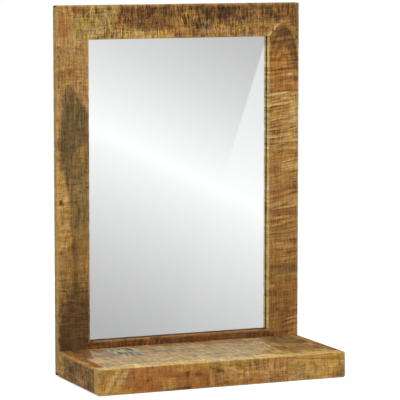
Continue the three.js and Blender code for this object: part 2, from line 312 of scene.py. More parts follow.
def reflected_card(name, left, right, y, low, high, material):
    """An upright card that is seen in glossy surfaces alone."""
    corners = [(left, y, low), (right, y, low), (right, y, high), (left, y, high)]
    sheet = stage_sheet(name, corners, material)
    sheet.visible_camera = False
    sheet.visible_diffuse = False
    sheet.visible_shadow = False


print("stage helpers ready")

# %% [markdown]
# ## The floor
#
# The floor is pale and matt and keeps the object's shadow. Towards the camera it also glows a little, so that
# the open floor and the sky are the same white and no horizon shows. A shadow catcher would do this as well,
# but only with a second picture laid under the first.

# %% Floor
FLOOR_REACH = 6
PAPER = 0.86
PAPER_TO_CAMERA = 0.6
PAPER_GLOW = 0.66
floor_material, tree = new_tree("floor_paper")
camera_ray = Wire.node(tree, "ShaderNodeLightPath").out("Is Camera Ray")
paper = camera_ray.between(grey(PAPER), grey(PAPER_TO_CAMERA))
matt = Wire.node(tree, "ShaderNodeBsdfDiffuse", None, {"Color": paper})
glow = Wire.node(tree, "ShaderNodeEmission", None, {"Color": grey(PAPER_GLOW), "Strength": camera_ray})
finish_with(tree, matt.then("ShaderNodeAddShader", None, {0: matt, 1: glow}))
floor_corners = [(x * FLOOR_REACH, y * FLOOR_REACH, 0) for x, y in ((-1, -1), (1, -1), (1, 1), (-1, 1))]
floor = stage_sheet("floor", floor_corners, floor_material)
floor.visible_glossy = False
floor.visible_transmission = False
print("floor of", 2 * FLOOR_REACH, "m")

# %% [markdown]
# ## What the mirror sees
#
# A mirror has no look of its own: it shows the room in front of it. In a studio that is a large white cloth,
# lit brightest along a slanting band, with a second cloth that overlaps it at the right. Here one card in
# front of the object carries both, and only glossy surfaces see it. Because it is a real thing in the room,
# its reflection moves as it should when the mirror is seen from elsewhere.

# %% The lit cloth in front
# Points are (x, z) on the card, in metres: one on the bright band, and one on the second cloth's edge.
CLOTH_Y = -0.6
BAND_AT = Vector((0.0853, 0.4015))
BAND_SLOPE = -0.49
EDGE_AT = Vector((0.3127, 0.0165))
EDGE_LEAN = 0.3374
CLOTH_RANGE = 2.8

# The cloth's brightness at these distances in metres above the middle of its band.
CLOTH_LEVELS = [
    (-1.30, 0.97),
    (-0.80, 0.70),
    (-0.52, 0.46),
    (-0.425, 0.485),
    (-0.325, 0.588),
    (-0.225, 0.707),
    (-0.125, 0.843),
    (-0.04, 0.965),
    (0.01, 1.06),
    (0.06, 0.985),
    (0.125, 0.884),
    (0.225, 0.743),
    (0.325, 0.623),
    (0.42, 0.53),
    (0.52, 0.52),
    (0.80, 0.72),
    (1.30, 0.97),
]
cloth_material, tree = new_tree("lit_cloth")
split = place_on(tree).split()
x, z = split.out("X"), split.out("Z")
above_band = z - BAND_AT.y - (x - BAND_AT.x) * BAND_SLOPE
cloth_stops = [(0.5 + distance / CLOTH_RANGE, grey(level)) for distance, level in CLOTH_LEVELS]
ramp_place = above_band * (1 / CLOTH_RANGE) + 0.5
cloth = Wire.node(tree, "ShaderNodeValToRGB", {"stops": cloth_stops}, {"Fac": ramp_place})
print("the cloth has", len(cloth_stops), "levels over", CLOTH_RANGE, "m")

# %% The second cloth
SECOND_CLOTH = 1.05
LIFT_ABOVE = 0.47
LIFT_BELOW = 0.04
right_of_edge = (x - EDGE_AT.x - (z - EDGE_AT.y) * EDGE_LEAN).smooth(0, 0.004)
lift = above_band.smooth(-0.02, 0.05) * (LIFT_ABOVE - LIFT_BELOW) + LIFT_BELOW
lifted = cloth + (SECOND_CLOTH - cloth) * lift
level = right_of_edge.between(cloth, lifted)
finish_with(tree, level.then("ShaderNodeEmission", None, {"Color": level, "Strength": 1}))
reflected_card("lit_cloth", -2.4, 2.4, CLOTH_Y, -1.2, 2.2, cloth_material)
print("the bright band slopes", BAND_SLOPE, "and the second cloth's edge leans", EDGE_LEAN)

# %% [markdown]
# ## How a board is made
#
# A board is one cross-section drawn along the grain, so the mesh is built the same way: a closed ring of
# points, repeated in slices. The section carries the sanded arrises and, in the frame, the two rabbets that
# hold the glass and the panel. Modelling a box and bevelling it would give perfect edges. With our own ring
# each board can get fine slices on its face and few elsewhere, and its ends can be mitred or rounded.

# %% The ring round a board's section
MM = 0.001
ARC_STEPS = 4


def ring_of(corners, steps):
    """Points round a shape of right-angled corners, given as (u, v, radius), in metres.

    steps gives the spacing of the points along the side that leaves each corner.
    """
    ring = []
    count = len(corners)
    for index, (u, v, radius) in enumerate(corners):
        here = Vector((u, v))
        before = Vector(corners[index - 1][:2])
        after = Vector(corners[(index + 1) % count][:2])
        back = (before - here).normalized()
        onward = (after - here).normalized()
        arc_steps = ARC_STEPS if radius > MM else 1
        if radius > 0:
            centre = here + radius * (back + onward)
            for step in range(arc_steps + 1):
                angle = math.pi / 2 * step / arc_steps
                ring.append(centre - radius * (onward * math.cos(angle) + back * math.sin(angle)))
        else:
            ring.append(here)
        start = here + onward * radius
        end = after - onward * corners[(index + 1) % count][2]
        parts = max(1, round((end - start).length / steps[index]))
        ring.extend(start.lerp(end, part / parts) for part in range(1, parts))
    return ring


def arris_nearness(corners, points, reach=3.5 * MM):
    """1 on a sanded corner of the section, falling to 0 at this distance from it."""
    rounded = [Vector((u, v)) for u, v, radius in corners if radius > MM]
    nearest = [min((point - corner).length for corner in rounded) for point in points]
    return [max(0.0, 1 - max(0.0, distance - MM) / reach) for distance in nearest]


square = [(0, 0, 0), (20, 0, 0), (20, 20, 0), (0, 20, 0)]
print("a 20 mm square gives a ring of", len(ring_of(square, [5] * 4)), "points")

# %% [markdown]
# ## Saw marks and worn edges in the mesh
#
# A band saw leaves a ladder of shallow ridges across the grain, the sander rounds the arrises unevenly, and
# here and there an edge is knocked in. All of that only ever takes wood away, so each point moves inward
# along its normal, and the board never grows past its CAD size. A Displace modifier would be quicker to set
# up, but it can't tell an arris from a face. The very fine marks are left to the finish.

# %% Wear in the mesh
SAW_PITCH = 7 * MM
SAW_DEPTH = 0.16 * MM
SAW_WANDER = Vector((3, 3, 3))
HOLLOW_LENGTH = 70 * MM
HOLLOW_DEPTH = 0.25 * MM
KNOCK_LENGTH = 16 * MM
KNOCK_DEPTH = 0.7 * MM
SANDED = 0.1 * MM


def share_between(value, low, high):
    """How far a value has come from low to high, from 0 to 1."""
    return min(1.0, max(0.0, (value - low) / (high - low)))


def worn_depth(point, along, arris, seed):
    """How far the surface lies below the ideal board at this point."""
    offset = Vector((seed, seed * 1.7, seed * 0.6))
    saw = noise.noise(Vector((along / SAW_PITCH, seed, point.dot(SAW_WANDER)))) * 0.5 + 0.5
    hollow = noise.noise(point / HOLLOW_LENGTH + offset) * 0.5 + 0.5
    knock = share_between(noise.noise(point / KNOCK_LENGTH + offset), 0.1, 0.75)
    return saw * SAW_DEPTH + hollow * HOLLOW_DEPTH + arris * (knock * KNOCK_DEPTH + SANDED)


def wear(mesh, arris, grain_axis, seed):
    """Moves every point of a board inward by its own wear."""
    mesh.update()
    normals = [vertex.normal.copy() for vertex in mesh.vertices]
    for vertex, normal, nearness in zip(mesh.vertices, normals, arris):
        depth = worn_depth(vertex.co, vertex.co[grain_axis], nearness, seed)
        vertex.co = vertex.co - normal * depth


print("deepest wear is", round((SAW_DEPTH + HOLLOW_DEPTH + KNOCK_DEPTH + SANDED) / MM, 2), "mm")


# %% A board from its slices
def board(name, slices, arris, grain_axis, seed):
    """Joins slices of one ring into a closed, worn board that stands for the CAD node of its name.

    arris has a value for every point. The ends are closed last, so that the wear can't pull them away from
    the board they meet.
    """
    count = len(slices[0])
    points = [point for ring in slices for point in ring]
    faces = []
    for first in range(0, len(points) - count, count):
        for index in range(count):
            after = (index + 1) % count
            faces.append((first + index, first + count + index, first + count + after, first + after))
    mesh = bpy.data.meshes.new(name)
    mesh.from_pydata(points, [], faces)
    attribute = mesh.attributes.new("arris", "FLOAT", "POINT")
    attribute.data.foreach_set("value", arris)
    turn_outward(mesh)
    wear(mesh, arris, grain_axis, seed)
    close_ends(mesh)
    made = add_object(name + "_wood", mesh)
    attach(made, "root")
    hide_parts(name)
    return made


def turn_outward(mesh):
    """Turns every face so that its front looks away from the board's middle line."""
    shape = bmesh.new()
    shape.from_mesh(mesh)
    bmesh.ops.recalc_face_normals(shape, faces=shape.faces)
    shape.to_mesh(mesh)
    shape.free()


def close_ends(mesh):
    """Fills the two open ends of a board with triangles."""
    shape = bmesh.new()
    shape.from_mesh(mesh)
    rims = [edge for edge in shape.edges if edge.is_boundary]
    made = bmesh.ops.holes_fill(shape, edges=rims, sides=0)
    bmesh.ops.triangulate(shape, faces=made["faces"])
    bmesh.ops.recalc_face_normals(shape, faces=shape.faces)
    shape.to_mesh(mesh)
    shape.free()


SHARP_ANGLE = math.radians(38)


def soften(made):
    """Smooth shading, with real edges kept sharp."""
    made.data.shade_smooth()
    made.data.set_sharp_from_angle(angle=SHARP_ANGLE)


print("boards are joined from slices and keep an 'arris' value for their finish")

# %% [markdown]
# ## The frame's four boards
#
# Each board of the frame has the same section: 65 mm wide and 20 mm thick, with a rabbet for the glass and a
# wider one behind it for the panel. The ends are mitred, so a point's reach along the board shrinks as it
# lies further in. The outer corners of the frame are sanded round, most of all at the foot, which shortens
# the outermost points once more.

# %% Section of a frame board
HALF_WIDTH = 250 * MM
HEIGHT = 700 * MM
FRAME_FRONT = 95 * MM
FRAME_THICK = 20 * MM
FRAME_FACE = 65 * MM
GLASS_RABBET = 56 * MM
GLASS_LEVEL = 8.7 * MM
PANEL_RABBET = 43 * MM
PANEL_LEVEL = 13 * MM
MITRE_GAP = 0.06 * MM
OUTER_CORNER = 4 * MM
LOW_CORNER = 7 * MM
SLICE = 3.5 * MM

frame_corners = [
    (0, 0, 2.5 * MM),
    (FRAME_FACE, 0, 1.5 * MM),
    (FRAME_FACE, GLASS_LEVEL, 0),
    (GLASS_RABBET, GLASS_LEVEL, 0),
    (GLASS_RABBET, PANEL_LEVEL, 0),
    (PANEL_RABBET, PANEL_LEVEL, 0),
    (PANEL_RABBET, FRAME_THICK, 0),
    (0, FRAME_THICK, 2.5 * MM),
]
frame_steps = [3.5 * MM, 3 * MM, 9 * MM, 5 * MM, 7 * MM, 7 * MM, 9 * MM, 5 * MM]
frame_ring = ring_of(frame_corners, frame_steps)
frame_arris = arris_nearness(frame_corners, frame_ring)
print("frame section has", len(frame_ring), "points")


# %% The four boards
def half_length(inward, length, corner):
    """How far a mitred board reaches from its middle, at this distance in from its outer edge."""
    mitred = length / 2 - inward - MITRE_GAP
    if inward >= corner:
        return mitred
    rounded = math.sqrt(corner**2 - (corner - inward) ** 2)
    return min(mitred, length / 2 - corner + rounded)


def frame_board(name, length, outer_edge, inward, seed):
    """A mitred board whose outer edge has its middle at outer_edge, with its face running inward."""
    inward = Vector(inward)
    along = Vector((abs(inward.z), 0, abs(inward.x)))
    start = Vector(outer_edge)
    count = round(length / SLICE)
    slices = []
    for cut in range(count + 1):
        share = 2 * cut / count - 1
        at_foot = inward.z > 0 or (along.z and share < 0)
        ring = []
        for into, depth in frame_ring:
            reach = share * half_length(into, length, LOW_CORNER if at_foot else OUTER_CORNER)
            ring.append(start + inward * into + Vector((0, depth, 0)) + along * reach)
        slices.append(ring)
    grain_axis = 2 if along.z else 0
    return board(name, slices, frame_arris * len(slices), grain_axis, seed)


WIDTH = 2 * HALF_WIDTH
left_edge = (-HALF_WIDTH, FRAME_FRONT, HEIGHT / 2)
right_edge = (HALF_WIDTH, FRAME_FRONT, HEIGHT / 2)
left_stile = frame_board("frame_left_stile", HEIGHT, left_edge, (1, 0, 0), 3.1)
right_stile = frame_board("frame_right_stile", HEIGHT, right_edge, (-1, 0, 0), 11.7)
top_rail = frame_board("frame_top_rail", WIDTH, (0, FRAME_FRONT, HEIGHT), (0, 0, -1), 23.3)
bottom_rail = frame_board("frame_bottom_rail", WIDTH, (0, FRAME_FRONT, 0), (0, 0, 1), 31.9)
frame_boards = (left_stile, right_stile, top_rail, bottom_rail)
print("frame boards:", [(made.name, len(made.data.polygons)) for made in frame_boards])

# %% [markdown]
# ## Pockets and screw holes in the back
#
# The keyhole plates lie flush in pockets, and the long screws that hold the shelf are sunk in the back of the
# frame. A hole is the one shape that slices can't give, so these are cut with a Boolean modifier, which is
# applied at once.

# %% Cutters for the back
PLATE_X = 228.5 * MM
PLATE_Z = 612 * MM
PLATE_FRONT = 112.7 * MM
PLATE_HALF_WIDTH = 10.3 * MM
PLATE_HALF_HEIGHT = 25.3 * MM
WELL_FRONT = 105 * MM
WELL_HALF_WIDTH = 6.5 * MM
WELL_LOW = 598.5 * MM
WELL_HIGH = 623.5 * MM
BEHIND = 118 * MM


def object_from(name, shape):
    """Turns a finished bmesh into an object of the scene."""
    mesh = bpy.data.meshes.new(name)
    shape.to_mesh(mesh)
    shape.free()
    return add_object(name, mesh)


def prism(outline, front, back):
    """A closed solid from an outline in x and z, drawn back along y."""
    shape = bmesh.new()
    near = [shape.verts.new((x, front, z)) for x, z in outline]
    far = [shape.verts.new((x, back, z)) for x, z in outline]
    count = len(outline)
    shape.faces.new(near)
    shape.faces.new(reversed(far))
    for index in range(count):
        after = (index + 1) % count
        shape.faces.new((near[index], far[index], far[after], near[after]))
    bmesh.ops.recalc_face_normals(shape, faces=shape.faces)
    return object_from("cutter", shape)


print("plate pocket", PLATE_HALF_WIDTH / MM * 2, "by", PLATE_HALF_HEIGHT / MM * 2, "mm")


# %% Outlines of the cutters, and the cut itself
def round_outline(x, z, radius, sides=24):
    """A circle's points, in x and z."""
    turns = [2 * math.pi * side / sides for side in range(sides)]
    return [(x + radius * math.cos(turn), z + radius * math.sin(turn)) for turn in turns]


def stadium_outline(x, z, half_width, half_height, sides=24):
    """A slot shape with round ends, upright."""
    straight = half_height - half_width
    outline = []
    for side in range(sides + 2):
        top = side <= sides // 2
        turn = math.pi * (side if top else side - 1) / (sides // 2)
        lift = straight if top else -straight
        outline.append((x + half_width * math.cos(turn), z + lift + half_width * math.sin(turn)))
    return outline


def cut_with(made, cutters):
    """Takes the cutters out of a board and removes them from the scene."""
    for cutter in cutters:
        modifier = made.modifiers.new("cut", "BOOLEAN")
        modifier.operation = "DIFFERENCE"
        modifier.solver = "EXACT"
        modifier.object = cutter
    evaluated = made.evaluated_get(bpy.context.evaluated_depsgraph_get())
    old = made.data
    made.data = bpy.data.meshes.new_from_object(evaluated)
    made.modifiers.clear()
    bpy.data.meshes.remove(old)
    for cutter in cutters:
        bpy.data.objects.remove(cutter)


print("a slot's outline has", len(stadium_outline(0, 0, 1, 2)), "points")

# %% Cut the pockets and the holes
SINK_FRONT = 111.5 * MM
SINK_RADIUS = 4.4 * MM


def plate_cutters(side):
    x = side * PLATE_X
    well = [
        (x - WELL_HALF_WIDTH, WELL_LOW),
        (x + WELL_HALF_WIDTH, WELL_LOW),
        (x + WELL_HALF_WIDTH, WELL_HIGH),
        (x - WELL_HALF_WIDTH, WELL_HIGH),
    ]
    pocket = stadium_outline(x, PLATE_Z, PLATE_HALF_WIDTH, PLATE_HALF_HEIGHT)
    return [prism(pocket, PLATE_FRONT, BEHIND), prism(well, WELL_FRONT, BEHIND)]


def sink_cutter(screw):
    """A round hole over the head of this CAD screw."""
    low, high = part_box(screw)
    x, z = (low.x + high.x) / 2, (low.z + high.z) / 2
    return prism(round_outline(x, z, SINK_RADIUS), SINK_FRONT, BEHIND)


cut_with(left_stile, [*plate_cutters(-1), sink_cutter("shelf_screw_5")])
cut_with(right_stile, [*plate_cutters(1), sink_cutter("shelf_screw_6")])
cut_with(bottom_rail, [sink_cutter(f"shelf_screw_{number}") for number in (1, 2, 3, 4)])
for made in frame_boards:
    soften(made)
print("after cutting:", [(made.name, len(made.data.polygons)) for made in frame_boards])

# %% [markdown]
# ## The shelf's boards
#
# The shelf is a box: a front of three lengths glued end to end, two ends, a top of two boards and a board
# underneath. Each length of the front that meets the outside has its end rounded over. Slices close to that
# end are simply drawn inward by the same curve that a sander follows.

# %% Where the slices of the shelf lie
SHELF_FRONT = -115 * MM
SHELF_BACK = 94.7 * MM
SHELF_TOP = 50 * MM
FRONT_BACK = -95 * MM
FRONT_EASE = 3 * MM
SIDE_EASE = 5 * MM
TIGHT = 0.5 * MM


def rounding(radius, distance):
    """How far a rounded edge lies in, at this distance from the end."""
    if distance >= radius:
        return 0.0
    return radius - math.sqrt(radius**2 - (radius - distance) ** 2)


def cuts_between(low, high, round_low, round_high, step=SLICE):
    """Places of the slices: evenly spaced, and closer where an end is rounded."""
    fine = [0, 0.4 * MM, 1.2 * MM, 2.4 * MM, 3.8 * MM]
    start = [low + extra for extra in fine] if round_low else [low]
    stop = [high - extra for extra in reversed(fine)] if round_high else [high]
    first = low + (SIDE_EASE if round_low else step)
    last = high - (SIDE_EASE if round_high else step)
    parts = max(1, round((last - first) / step))
    return start + [first + (last - first) * part / parts for part in range(parts + 1)] + stop


print("a rounded end has slices at", [round(x / MM, 1) for x in cuts_between(0, 20 * MM, True, False)], "mm")

# %% Front lengths
front_corners = [
    (SHELF_FRONT, 0, FRONT_EASE),
    (FRONT_BACK, 0, 0),
    (FRONT_BACK, SHELF_TOP, TIGHT),
    (SHELF_FRONT, SHELF_TOP, FRONT_EASE),
]
front_ring = ring_of(front_corners, [5 * MM, 9 * MM, 3.5 * MM, 3.5 * MM])
front_arris = arris_nearness(front_corners, front_ring)
SHELF_MIDDLE = SHELF_TOP / 2


def front_length(name, low, high, seed):
    """One length of the shelf's front, rounded over where it ends at the outside."""
    slices, arris = [], []
    rounds_low, rounds_high = low == -HALF_WIDTH, high == HALF_WIDTH
    for x in cuts_between(low, high, rounds_low, rounds_high):
        distance = min(x - low if rounds_low else 1, high - x if rounds_high else 1)
        flatter = 1 - rounding(SIDE_EASE, distance) / SHELF_MIDDLE
        thinner = 1 - rounding(FRONT_EASE, distance) / (FRONT_BACK - SHELF_FRONT)
        ring = [
            Vector((x, FRONT_BACK + (y - FRONT_BACK) * thinner, SHELF_MIDDLE + (z - SHELF_MIDDLE) * flatter))
            for y, z in front_ring
        ]
        slices.append(ring)
        end = max(0.0, 1 - distance / (5 * MM))
        arris.extend(max(near, end) for near in front_arris)
    return board(name, slices, arris, 0, seed)


LEFT_JOINT = -30 * MM
RIGHT_JOINT = 130 * MM
HALF_GAP = 0.15 * MM
front_left = front_length("shelf_front_left", -HALF_WIDTH, LEFT_JOINT - HALF_GAP, 41.3)
front_middle = front_length("shelf_front_middle", LEFT_JOINT + HALF_GAP, RIGHT_JOINT - HALF_GAP, 47.9)
front_right = front_length("shelf_front_right", RIGHT_JOINT + HALF_GAP, HALF_WIDTH, 53.2)
print("front lengths:", [len(made.data.polygons) for made in (front_left, front_middle, front_right)])

# %% Shelf ends
END_INSIDE = 230 * MM
BOX_FRONT = -94.7 * MM


def shelf_end(name, side, seed):
    """The short board at one end of the shelf, its grain running back to the wall."""
    corners = [
        (END_INSIDE, 0, 0),
        (END_INSIDE, SHELF_TOP, TIGHT),
        (HALF_WIDTH, SHELF_TOP, SIDE_EASE),
        (HALF_WIDTH, 0, SIDE_EASE),
    ]
    ring = ring_of(corners, [9 * MM, 4 * MM, 3.5 * MM, 5 * MM])
    arris = arris_nearness(corners, ring)
    slices = [
        [Vector((side * across, y, height)) for across, height in ring]
        for y in cuts_between(BOX_FRONT, SHELF_BACK, False, False)
    ]
    return board(name, slices, arris * len(slices), 1, seed)


left_end = shelf_end("shelf_left_end", -1, 61.4)
right_end = shelf_end("shelf_right_end", 1, 67.8)
print("shelf ends:", len(left_end.data.polygons), "faces each")

# %% Top and underside
BOX_SIDE = 229.7 * MM
TOP_UNDERSIDE = 30 * MM
TOP_JOINT = -5 * MM
BOTTOM_THICK = 10 * MM
TOP_STEP = 4 * MM
BOTTOM_STEP = 7 * MM
HIDDEN_STEP = 9 * MM


def flat_board(name, front, back, low, high, seed, face_step):
    """A board that lies flat between the shelf's ends, its grain running from end to end."""
    corners = [(front, low, 0), (back, low, 0), (back, high, TIGHT), (front, high, TIGHT)]
    ring = ring_of(corners, [HIDDEN_STEP, HIDDEN_STEP, face_step, HIDDEN_STEP])
    slices = [
        [Vector((x, y, height)) for y, height in ring]
        for x in cuts_between(-BOX_SIDE, BOX_SIDE, False, False, face_step)
    ]
    return board(name, slices, [0.0] * (len(ring) * len(slices)), 0, seed)


joint_front = TOP_JOINT - HALF_GAP
joint_back = TOP_JOINT + HALF_GAP
top_levels = (TOP_UNDERSIDE, SHELF_TOP)
top_front = flat_board("shelf_top_front_board", BOX_FRONT, joint_front, *top_levels, 71.5, TOP_STEP)
top_rear = flat_board("shelf_top_rear_board", joint_back, SHELF_BACK, *top_levels, 79.1, TOP_STEP)
underside = flat_board("shelf_bottom_board", BOX_FRONT, SHELF_BACK, 0, BOTTOM_THICK, 83.6, BOTTOM_STEP)
shelf_boards = (front_left, front_middle, front_right, left_end, right_end, top_front, top_rear, underside)
for made in shelf_boards:
    soften(made)
print("shelf boards:", [(made.name, len(made.data.polygons)) for made in shelf_boards])

# %% [markdown]
# ## The finish of the wood
#
# Rough-sawn wood that has been waxed shows several things at once: slow changes of tone and hue, fibres along
# the grain, the ladder of the saw across it, and short dark dashes where wax and dust have stayed in it.
# Every layer is a noise whose coordinates are stretched along or across the board's own grain, so the finish
# starts with those coordinates, bent a little, because grain is never quite straight.

# %% Tones of the wood
# The palest tone: rubbed wood, and also painted highlights on edges that catch the light.
RUBBED_AND_HIGHLIGHT = paint("ecd59a")
CREAM = paint("d2b87c")
PALE = paint("c29c5c")
GOLD = paint("b78b3f")
TAN = paint("a87c44")
ORANGE = paint("ab6a30")
BROWN = paint("80582b")
OLIVE = paint("8c7540")
GREY_BROWN = paint("5f5336")
DARK_BROWN = paint("4e3318")
RED_BROWN = paint("743e1c")
BLACK_BROWN = paint("2d1e0e")
print("the palest tone is", round(RUBBED_AND_HIGHLIGHT[0] / BLACK_BROWN[0]), "times as bright as the darkest, in red light")


# %% Coordinates along the grain
class Grain:
    """A board's material, with coordinates that run along, across and through its grain."""

    def __init__(self, name, along, across, through, seed, slant=0.0):
        self.material, self.tree = new_tree(name)
        self.seed = seed
        self.colour = None
        self.where = place_on(self.tree)
        self.in_mm = self.where * 1000
        self.face_axes = ["XYZ".index(axis) for axis in sorted((along, across))]
        bent = self.where + (self.where.noise(14, 1).out("Color") - 0.5) * 0.012
        split = bent.split()
        self.across = split.out(across)
        self.through = split.out(through)
        self.along = split.out(along) + self.across * slant
        self.frayed = self.cloud(60, 150, 3).out("Color") - 0.5
        self.rough_edge = self.grain(30, 110, 3) * 0.7 + self.grain(90, 520) * 0.5

    def cloud(self, along, across, detail):
        """Noise round 0.5 that has this many cells a metre along and across the grain."""
        self.seed += 7.3
        sockets = {
            "X": self.along * along + self.seed,
            "Y": self.across * across + self.seed,
            "Z": self.through * across - self.seed,
        }
        return Wire.node(self.tree, "ShaderNodeCombineXYZ", None, sockets).noise(1, detail, 0.62)

    def grain(self, along, across, detail=2):
        """The same noise, from about -1 to 1."""
        return (self.cloud(along, across, detail) - 0.5) * 4


print("coordinates along the grain ready")

# %% [markdown]
# ## The marks that make a board itself
#
# A grey flame, a knot or a dark foot has its place on the real board, so each is put there one by one; the
# dark foot is partly the wood's own colour and partly painted shade above the shelf. A stain is drawn by the
# corners of its outline on the face, and a knot as a soft ellipsoid. Both get a frayed edge, and both go
# right through the board, so they run round its edges as they do in real wood. An image would hold all of
# them at once, but it would stretch on the edges and blur close up.


# %% Stains, knots and dashes
# A knot with this reach in metres goes right through the board.
EVERYWHERE = 10


class MarkedGrain(Grain):
    """A board's own colour and the marks on it. A later mark lies over the ones before."""

    def ground(self, dark, middle, light, evenness=1.0):
        """The board's own colour, from its dark to its light wood."""
        tone = 0.5 + (self.grain(7, 26) * 0.2 + self.grain(26, 55, 3) * 0.18) * evenness
        stops = [(0.15, dark), (0.5, middle), (0.85, light)]
        self.colour = Wire.node(self.tree, "ShaderNodeValToRGB", {"stops": stops}, {"Fac": tone})

    def stain(self, colour, corners, strength=0.8, soft=3.0, fray=5.0, marks=None):
        """Wood of another colour inside a convex outline, given by its corners on the face in mm.

        marks breaks the stain up: it gives the cells a metre, along and across, of the marks left of it.
        """
        middle = sum((Vector(corner) for corner in corners), Vector((0, 0))) / len(corners)
        outside = None
        for corner, after in zip(corners, corners[1:] + corners[:1]):
            normal = Vector((after[1] - corner[1], corner[0] - after[0])).normalized()
            if normal.dot(middle - Vector(corner)) > 0:
                normal.negate()
            direction = Vector((0, 0, 0))
            direction[self.face_axes[0]], direction[self.face_axes[1]] = normal
            beyond = self.in_mm.dot(direction) - normal.dot(corner)
            outside = beyond if outside is None else outside.largest(beyond)
        mask = (outside + self.rough_edge * fray).smooth(soft, -soft, strength)
        if marks:
            mask = mask * self.grain(*marks, 3).smooth(-0.15, 0.4)
        self.colour = mask.between(self.colour, colour)

    def knot(self, colour, centre, reach, strength=0.8, soft=0.4, fray=0.5):
        """Wood of another colour round a point of the board, in the part's own x, y and z."""
        shape = (self.where - centre) * tuple(1 / size for size in reach) + self.frayed * (2 * fray)
        self.colour = shape.length().smooth(1 + soft, 1 - soft, strength).between(self.colour, colour)

    def arches(self, colour, foot, reach, count, strength):
        """Growth rings that close to nested arches above a point of the board."""
        shape = (self.where - foot) * tuple(1 / size for size in reach) + self.frayed * 0.3
        length = shape.length()
        rings = (length * (2 * math.pi * count)).sine().smooth(-0.3, 0.7, strength)
        above = self.where.dot((0, 0, 1)).smooth(foot[2], foot[2] + 0.03)
        mask = rings * length.smooth(1.05, 0.9) * above
        self.colour = mask.between(self.colour, colour)

    def dashes(self, colour, strength, wide=340, tall=60, spread=0.0):
        """Short dark marks across the grain, in clusters. A higher spread makes the clusters larger."""
        cluster = self.grain(22, 30, 3).smooth(-0.5 - spread, 0.5 - spread)
        marks = self.grain(wide, tall, 3).smooth(-0.15, 0.4, strength)
        self.colour = (marks * cluster).between(self.colour, colour)


def oblong(left, right, low, high):
    """The corners of an upright rectangle, for a stain."""
    return [(left, high), (right, high), (right, low), (left, low)]


print("marks ready")

# %% [markdown]
# ## The fine layers and the gloss
#
# Close up, sawn wood is lines of the saw over fibres, with open pores. The same layers darken the colour and
# shape the bump, so each dark line lies in a groove. The saw's lines come and go over the board, because
# lines of one depth everywhere look printed. Along the arrises, where the sander reached, paler wood shows.


# %% The finish of one board
class WoodFinish(MarkedGrain):
    """A board's whole material: its grain, its marks, and the fine layers that close it."""

    def finish(self, saw=1.0, stroke=0.5, contrast=1.0, roughness=0.55, specular=0.16, worn=PALE):
        """Adds the fine layers and the gloss, and closes the material.

        saw is the depth of the saw's lines. stroke is their length: at 1 they are about 50 mm long.
        """
        sawn = self.grain(16, 22).smooth(-0.7, 0.6) * 0.8 + 0.3
        fine_saw = self.grain(430, 20 / stroke).smooth(-0.5, 0.5)
        broad_saw = self.grain(170, 11 / stroke).smooth(-0.5, 0.5)
        ladder = (fine_saw * 0.18 + broad_saw * 0.26 - 0.22) * sawn * saw
        scratches = self.grain(1500, 45) * 0.05 * saw
        fibre = (self.grain(26, 330, 3).smooth(-0.6, 0.6) - 0.5) * 0.27
        pores = self.grain(210, 2300).smooth(0.25, 0.6)
        mottle = self.grain(60, 110, 3) * 0.14 + self.grain(260, 260) * 0.17
        light = 0.52 + (mottle + fibre + scratches + ladder - pores * 0.16) * contrast
        tint = light.clamp().between((0.19, 0.145, 0.0, 1), (1.46, 1.42, 1.31, 1))
        warmth = self.grain(30, 75, 3).smooth(-0.7, 0.7)
        hue = warmth.between((1.03, 0.99, 0.7, 1), (0.97, 1.01, 1.3, 1))
        arris = Wire.node(self.tree, "ShaderNodeAttribute", {"attribute_name": "arris"}).out("Fac")
        rubbed = arris * self.grain(70, 70).smooth(-0.9, 0.6) * 0.5
        height = ladder + mottle * 0.4 + scratches * 2.0 + fibre * 0.4 - pores * 0.3
        sockets = {
            "Base Color": rubbed.between(self.colour * tint * hue, worn),
            "Roughness": (roughness + mottle * 0.2 + pores * 0.15 - rubbed * 0.12).clamp(),
            "Normal": height.bump(0.6, 0.8 * MM),
            "Specular IOR Level": specular,
        }
        finish_principled(self.tree, sockets)
        return self.material


def dress(made, material):
    """Gives a piece its only material."""
    made.data.materials.clear()
    made.data.materials.append(material)


print("wood finish ready")

# %% [markdown]
# ## Left upright
#
# Tan at the top, with an orange corner. Then comes a grey flame that starts blunt and widens downward, with
# lighter wood inside it, a golden strip with a small knot at its outer side, and wood that darkens towards
# the foot, partly in its own colour and partly as painted shade above the shelf.
# Broad tones come first and thin streaks last, because each mark covers the ones before it. Places on the
# boards are in mm, from the mirror's middle and above its base.

# %% Finish of the left upright
FRAME_MIDDLE = FRAME_FRONT + FRAME_THICK / 2


def frame_knot(tone, x, z, wide, high, strength):
    """A knot that goes right through a board of the frame, in mm."""
    wood.knot(tone, (x * MM, FRAME_MIDDLE, z * MM), (wide * MM, EVERYWHERE, high * MM), strength)


wood = WoodFinish("left_upright_wood", "Z", "X", "Y", 3)
wood.ground(TAN, paint("a9834e"), PALE)
wood.stain(ORANGE, [(-250, 676), (-236, 672), (-226, 652), (-234, 634), (-250, 650)], 0.5)
wood.stain(paint("b58c5c"), [(-250, 652), (-240, 640), (-240, 628), (-250, 625)], 0.6, soft=2)
wood.stain(BROWN, [(-250, 584), (-213, 580), (-208, 568), (-250, 562)], 0.6, soft=5, fray=8)
wood.stain(OLIVE, [(-200, 630), (-184, 630), (-184, 560), (-196, 580)], 0.35, soft=4)
edge_streak = [(-249, 640), (-246, 630), (-244, 470), (-246, 400), (-249, 400)]
wood.stain(RED_BROWN, edge_streak, 0.5, soft=1, fray=3, marks=(60, 400))
print("top of the left upright:", len(wood.tree.nodes), "nodes so far")

